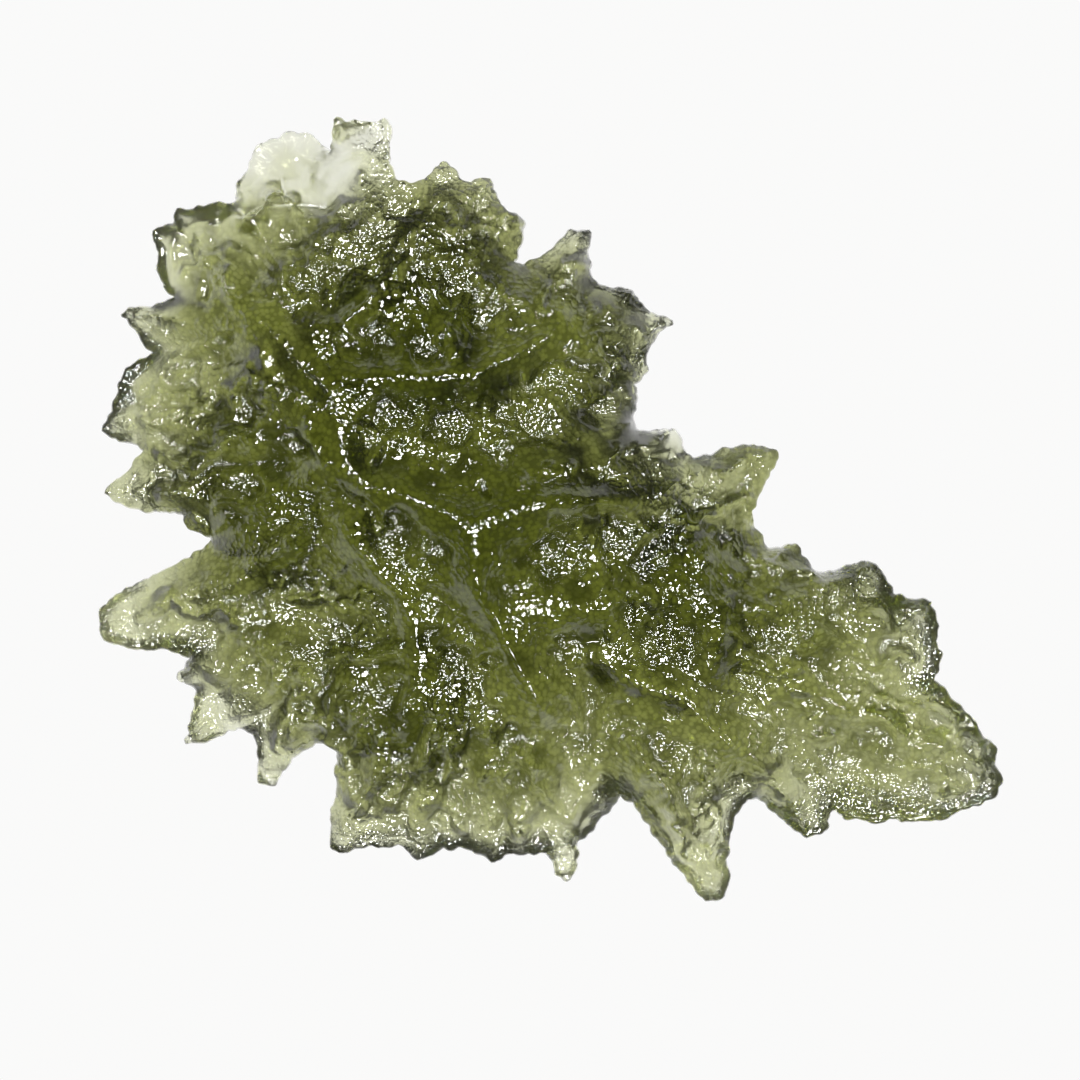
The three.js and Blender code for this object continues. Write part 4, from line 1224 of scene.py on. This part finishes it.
    def with_cups(self, skin: Field, sheet: Field) -> Field:
        """Sinks the cups, which have level floors and steep walls.

        Args:
            skin: Heights of the upper face.
            sheet: Its heights before etching, which set the level of each floor.

        Returns:
            The heights with the cups in them.
        """
        net = self.net
        push_x, push_y = self.stray
        guard = smoothstep(self.from_crest, *self.cup_guard)
        self.floor = np.zeros(net.shape)
        ripple = self.ripple * net.grain(self.ripple_size)
        for cup in CUPS:
            away = np.hypot(net.x - cup.x + push_x, net.y - cup.y + push_y) / cup.radius
            share = (1.0 - smoothstep(away, self.cup_floor, self.cup_lip)) * guard
            middle = net.knot(np.array([[cup.x, cup.y]]))
            level = sheet[middle][0] - self.cup_share * cup.depth + ripple
            skin = np.minimum(skin, skin + (level - skin) * share)
            self.floor = np.maximum(self.floor, share)
        return skin

    def rounded(self, skin: Field) -> Field:
        """Wears the crests a little, so that each catches the light along a thin line.

        Args:
            skin: Heights of the upper face.

        Returns:
            The worn heights.
        """
        net = self.net
        worn = net.blur(np.where(net.inside, skin, net.rim_height), self.crest_wear)
        near = 1.0 - smoothstep(self.from_ridge, *self.wear_reach)
        near *= smoothstep(net.from_edge, *self.wear_edge)
        return skin + (worn - skin) * near

    def ribs(self) -> Field:
        """The rise of all the low ribs."""
        spread, rise = self.rib_spread, self.rib_rise
        return sum(self.rib(line, spread * width, rise * height) for width, height, line in RIBS)

    def rib(self, line: Line, width: float, height: float) -> Field:
        """A low sharp rib along a line.

        Args:
            line: Corners of x, y.
            width: Distance from the crest of the rib to its foot.
            height: Height of the crest.

        Returns:
            The rise in height.
        """
        return height * np.clip(1.0 - self.away_from(line) / width, 0.0, None) ** self.rib_power

    def away_from(self, line: Line) -> Field:
        """Measures how far every knot is from a line, with a natural stray.

        Args:
            line: Corners of x, y.

        Returns:
            The distance in millimetres.
        """
        x, y = self.net.x + self.stray[0], self.net.y + self.stray[1]
        away = np.full(x.shape, np.inf)
        for start, end in zip(line, line[1:]):
            dx, dy = end[0] - start[0], end[1] - start[1]
            t = np.clip(((x - start[0]) * dx + (y - start[1]) * dy) / (dx * dx + dy * dy), 0, 1)
            away = np.minimum(away, np.hypot(x - start[0] - t * dx, y - start[1] - t * dy))
        return away

    def joined(self, upper: Field, under: Field) -> bpy.types.Object:
        """Makes the closed mesh of both faces and the rounded rim between them.

        Args:
            upper: Heights of the upper face.
            under: Heights of the lower face.

        Returns:
            The new object.
        """
        bm = bmesh.new()
        lower = bm.verts.layers.int.new("lower")
        places = self.cloth(bm, upper)
        low = bmesh.ops.duplicate(bm, geom=bm.verts[:] + bm.edges[:] + bm.faces[:])
        under_faces = [f for f in low["geom"] if isinstance(f, bmesh.types.BMFace)]
        upper_faces = list(set(bm.faces) - set(under_faces))
        lit = bm.verts.layers.float["lit"]
        for vert, place in places.items():
            if vert.is_valid:
                twin = low["vert_map"][vert]
                twin.co.z = under[place]
                # The lower face gets neither painted light nor painted shade.
                twin[lit] = 1.0
                twin[lower] = int(not self.net.edge[place])
        bmesh.ops.reverse_faces(bm, faces=under_faces)
        self.split_along(upper_faces, Face.UPPER)
        self.split_along(under_faces, Face.UNDER)
        self.close_rim(bm)
        bmesh.ops.scale(bm, vec=Vector((MM, MM, MM)), verts=bm.verts[:])
        bm.verts.index_update()
        hidden = [vert.index for vert in bm.verts if vert[lower]]
        mesh = bpy.data.meshes.new(self.node)
        bm.to_mesh(mesh)
        bm.free()
        piece = bpy.data.objects.new("moldavite_stone", mesh)
        bpy.context.scene.collection.objects.link(piece)
        self.coarsen(piece, hidden)
        piece.data.polygons.foreach_set("use_smooth", [True] * len(piece.data.polygons))
        return piece

    def cloth(self, bm: bmesh.types.BMesh, upper: Field) -> dict[bmesh.types.BMVert, tuple[int, int]]:
        """Lays a square grid over the net, shapes it as the upper face and trims it to the outline.

        Args:
            bm: The mesh that gets the grid.
            upper: Heights of the upper face.

        Returns:
            The row and column of each vertex, with the trimmed ones no longer valid.
        """
        net = self.net
        # lit and body carry painted light and shade to the glass.
        marks = {"etched": self.etched, "lit": self.lit, "body": self.body}
        layers = {name: bm.verts.layers.float.new(name) for name in marks}
        bmesh.ops.create_grid(bm, x_segments=net.columns - 1, y_segments=net.rows - 1, size=0.5)
        places = {}
        for vert in bm.verts:
            column = round((vert.co.x + 0.5) * (net.columns - 1))
            row = round((vert.co.y + 0.5) * (net.rows - 1))
            places[vert] = (row, column)
        outside = []
        for square in bm.faces:
            corners = [places[vert] for vert in square.verts]
            row, column = min(c[0] for c in corners), min(c[1] for c in corners)
            if not net.meshes[row, column]:
                outside.append(square)
        for vert, place in places.items():
            vert.co = (net.x[place], net.y[place], upper[place])
            for name, mark in marks.items():
                vert[layers[name]] = mark[place]
        bmesh.ops.delete(bm, geom=outside, context="FACES")
        return places

    def close_rim(self, bm: bmesh.types.BMesh) -> None:
        """Bridges the two faces with an upright wall and bulges its middle.

        Args:
            bm: The mesh, with two open faces one above the other.
        """
        flat = 1e-6
        walls = bmesh.ops.bridge_loops(bm, edges=[edge for edge in bm.edges if edge.is_boundary])
        upright = [e for e in walls["edges"] if (e.verts[0].co - e.verts[1].co).to_2d().length < flat]
        bmesh.ops.recalc_face_normals(bm, faces=bm.faces[:])
        ring = bmesh.ops.subdivide_edges(bm, edges=upright, cuts=1)
        bm.normal_update()
        for vert in ring["geom_inner"]:
            if isinstance(vert, bmesh.types.BMVert):
                vert.co += vert.normal * self.rim_bulge

    def coarsen(self, piece: bpy.types.Object, hidden: list[int]) -> None:
        """Thins out the mesh of the underside, whose detail is broader.

        Args:
            piece: The stone.
            hidden: Its vertices that may go.
        """
        group = piece.vertex_groups.new(name="underside")
        group.add(hidden, 1.0, "REPLACE")
        thin = piece.modifiers.new("coarser underside", "DECIMATE")
        thin.ratio = 1.0 - (1.0 - self.under_share) / 2.0
        thin.vertex_group = group.name
        layers = bpy.context.evaluated_depsgraph_get()
        mesh = bpy.data.meshes.new_from_object(piece.evaluated_get(layers))
        piece.modifiers.clear()
        piece.vertex_groups.clear()
        piece.data = mesh

    @staticmethod
    def split_along(squares: list[bmesh.types.BMFace], face: Face) -> None:
        """Splits four-sided faces along the diagonal that keeps crests sharp.

        Args:
            squares: The squares of one side of the stone.
            face: Which side it is.
        """
        for square in squares:
            a, b, c, d = square.verts
            if (a.co.z + c.co.z - b.co.z - d.co.z) * face.value > 0:
                bmesh.utils.face_split(square, a, c)
            else:
                bmesh.utils.face_split(square, b, d)

    def dress(self, finish: "TektiteGlass") -> None:
        """Gives the stone its glass and ties it to the frame.

        Args:
            finish: The glass.
        """
        self.piece.data.materials.append(finish.material())
        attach(self.piece, "root")
        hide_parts(self.node)


@dataclass(frozen=True)
class TektiteGlass:
    """Natural tektite glass, etched by soil acid.

    The body is bottle-green and clear: thin teeth are nearly colourless and the thick middle is
    olive. The rough skin blurs what is seen through it and doesn't mirror by itself. A thin clean
    gloss lies over it and follows its pits, so each pit throws its own glint, dense on the floors
    of the cups and beaded along the worn crests. Real pits are finer; they are drawn as coarse as
    they need to show. The base colour carries painted light and shade: painted shade mixes it
    towards dark olive on the walls between the pits and in the deep hollows where the glass is
    thick, and on the cup floors; painted light keeps it white on raised knots and smooth bands.
    """

    name: str = "etched tektite glass"
    ior: float = 1.49
    skin_roughness: float = 0.3
    skin_mirror: float = 0.0
    gloss: float = 1.0
    gloss_roughness: float = 0.05
    tint: str = "c1c72b"
    density: float = 680.0
    grain_size: float = 0.19
    grain_depth: float = 0.049
    # The next four set painted shade and painted light in the base colour.
    painted_pit_shade: float = 0.7
    pit_wall: tuple[float, float] = (0.05, 0.4)
    painted_shade_colour: str = "474b22"
    painted_light_colour: str = "ffffff"

    def material(self) -> bpy.types.Material:
        """Makes the glass.

        Returns:
            The material.
        """
        glass = bpy.data.materials.new(self.name)
        glass.use_nodes = True
        tree = glass.node_tree
        tree.nodes.clear()
        place = add_node(tree, "ShaderNodeTexCoord").outputs["Object"]
        etched = add_node(tree, "ShaderNodeAttribute", attribute_name="etched").outputs["Fac"]
        pits = add_node(
            tree, "ShaderNodeTexVoronoi", {"Vector": place, "Scale": 1 / (self.grain_size * MM)}
        ).outputs["Distance"]
        grain = add_node(tree, "ShaderNodeMath", {0: pits, 1: pits}, operation="MULTIPLY")
        skin = add_node(tree, "ShaderNodeMath", {0: grain.outputs[0], 1: etched}, operation="MULTIPLY")
        bump = add_node(
            tree,
            "ShaderNodeBump",
            {"Strength": 1.0, "Distance": self.grain_depth * MM, "Height": skin.outputs[0]},
        )
        # Painted shade: the base colour darkens towards the walls between the pits, where the glass is
        # thick.
        shade = add_node(
            tree,
            "ShaderNodeMapRange",
            {
                "Value": grain.outputs[0],
                "From Min": self.pit_wall[0],
                "From Max": self.pit_wall[1],
                "To Min": 0.0,
                "To Max": self.painted_pit_shade,
            },
        )
        body = add_node(tree, "ShaderNodeAttribute", attribute_name="body").outputs["Fac"]
        shade = add_node(tree, "ShaderNodeMath", {0: shade.outputs[0], 1: body}, operation="MULTIPLY")
        shade = add_node(tree, "ShaderNodeMath", {0: 1.0, 1: shade.outputs[0]}, operation="SUBTRACT")
        # Painted light and shade from the lit mark mix the base colour between the dark olive of painted
        # shade and white.
        ridge = add_node(tree, "ShaderNodeAttribute", attribute_name="lit").outputs["Fac"]
        bright = add_node(tree, "ShaderNodeMath", {0: ridge, 1: shade.outputs[0]}, operation="MULTIPLY")
        colour = add_node(
            tree,
            "ShaderNodeMix",
            {"Factor": bright.outputs[0], "A": linear(self.painted_shade_colour), "B": linear(self.painted_light_colour)},
            data_type="RGBA",
        )
        shader = add_node(
            tree,
            "ShaderNodeBsdfPrincipled",
            {
                "Base Color": next(one for one in colour.outputs if one.enabled),
                "Roughness": self.skin_roughness,
                "IOR": self.ior,
                "Specular Tint": (self.skin_mirror, self.skin_mirror, self.skin_mirror, 1.0),
                "Transmission Weight": 1.0,
                "Coat Weight": self.gloss,
                "Coat Roughness": self.gloss_roughness,
                "Normal": bump.outputs[0],
                "Coat Normal": bump.outputs[0],
            },
        )
        depth = add_node(
            tree, "ShaderNodeVolumeAbsorption", {"Color": linear(self.tint), "Density": self.density}
        )
        out = add_node(tree, "ShaderNodeOutputMaterial")
        tree.links.new(shader.outputs[0], out.inputs["Surface"])
        tree.links.new(depth.outputs[0], out.inputs["Volume"])
        return glass


@dataclass(frozen=True)
class Lamp:
    """A round soft box, told by where it stands and how wide it looks from the stone.

    Angles are in degrees: bearing runs counter-clockwise from the right of the view from above.
    """

    bearing: float
    height: float
    width: float
    strength: float

    @property
    def direction(self) -> Vector:
        """The way from the stone to the lamp, of unit length."""
        flat, up = math.radians(self.bearing), math.radians(self.height)
        return Vector((math.cos(up) * math.cos(flat), math.cos(up) * math.sin(flat), math.sin(up)))


@dataclass
class Studio:
    """A lit table, round soft boxes and the camera that looks straight down."""

    middle: Point = (-0.385, -1.0)
    frame_width: float = 37.8
    lens: float = 200.0
    sensor: float = 36.0
    table_size: float = 900.0
    table_glow: float = 0.955
    glow_colour: Point = (1.0, 1.0, 0.995, 1.0)
    walls: float = 0.14
    ceiling: float = 0.05
    wall_top: float = 0.8
    lamp_edge: float = 2.6
    clearance: float = 4.0
    bounces: int = 12
    glints: int = 6
    lamps: tuple[Lamp, ...] = (
        Lamp(100, 75, 22, 50.0),
        Lamp(290, 58, 20, 45.0),
        Lamp(200, 55, 14, 45.0),
        Lamp(20, 55, 12, 45.0),
    )

    def build(self) -> None:
        """Makes the table, the light and the camera."""
        self.table()
        self.room()
        self.camera()
        scene = bpy.context.scene
        scene.view_settings.view_transform = "Standard"
        scene.cycles.max_bounces = self.bounces
        scene.cycles.transmission_bounces = self.bounces
        scene.cycles.glossy_bounces = self.glints
        scene.cycles.volume_bounces = 0

    def table(self) -> None:
        """The milky top of a light table, which glows evenly."""
        bm = bmesh.new()
        bmesh.ops.create_grid(bm, x_segments=1, y_segments=1, size=self.table_size / 2 * MM)
        mesh = bpy.data.meshes.new("light table")
        bm.to_mesh(mesh)
        bm.free()
        top = bpy.data.objects.new("light_table", mesh)
        bpy.context.scene.collection.objects.link(top)
        sheet = bpy.data.materials.new("lit opal acrylic")
        sheet.use_nodes = True
        shader = sheet.node_tree.nodes["Principled BSDF"]
        shader.inputs["Base Color"].default_value = (0, 0, 0, 1)
        shader.inputs["Specular IOR Level"].default_value = 0.0
        shader.inputs["Emission Color"].default_value = self.glow_colour
        shader.inputs["Emission Strength"].default_value = self.table_glow
        mesh.materials.append(sheet)

    def room(self) -> None:
        """The studio around the table: grey walls, a darker ceiling and the soft boxes."""
        world = bpy.data.worlds.new("studio")
        bpy.context.scene.world = world
        world.use_nodes = True
        tree = world.node_tree
        ray = add_node(tree, "ShaderNodeTexCoord").outputs["Generated"]
        height = add_node(tree, "ShaderNodeSeparateXYZ", {0: ray}).outputs["Z"]
        light = add_node(
            tree,
            "ShaderNodeMapRange",
            {
                "Value": height,
                "From Min": 0.0,
                "From Max": self.wall_top,
                "To Min": self.walls,
                "To Max": self.ceiling,
            },
        ).outputs[0]
        for lamp in self.lamps:
            facing = add_node(
                tree, "ShaderNodeVectorMath", {0: ray, 1: lamp.direction}, operation="DOT_PRODUCT"
            )
            disc = add_node(
                tree,
                "ShaderNodeMapRange",
                {
                    "Value": facing.outputs["Value"],
                    "From Min": math.cos(math.radians(lamp.width / 2)),
                    "From Max": math.cos(math.radians(lamp.width / self.lamp_edge)),
                    "To Max": lamp.strength,
                },
            )
            both = add_node(tree, "ShaderNodeMath", {0: light, 1: disc.outputs[0]}, operation="ADD")
            light = both.outputs[0]
        tree.links.new(light, tree.nodes["Background"].inputs["Strength"])
        tree.nodes["Background"].inputs["Color"].default_value = (1, 1, 1, 1)

    def camera(self) -> None:
        """Sets the camera over the stone."""
        eye = bpy.data.cameras.new("camera")
        eye.sensor_width = self.sensor
        eye.lens = self.lens
        eye.clip_start, eye.clip_end = 0.01, 10.0
        camera = bpy.data.objects.new("camera", eye)
        distance = self.frame_width / self.sensor * self.lens
        camera.location = (self.middle[0] * MM, self.middle[1] * MM, (distance + self.clearance) * MM)
        bpy.context.scene.collection.objects.link(camera)
        bpy.context.scene.camera = camera


def main() -> None:
    """Builds the stone and the studio in order."""
    logging.basicConfig(level=logging.INFO, format="%(name)s: %(message)s")
    stone = Moldavite()
    stone.build()
    stone.dress(TektiteGlass())
    Studio().build()


if __name__ == "__main__":
    main()
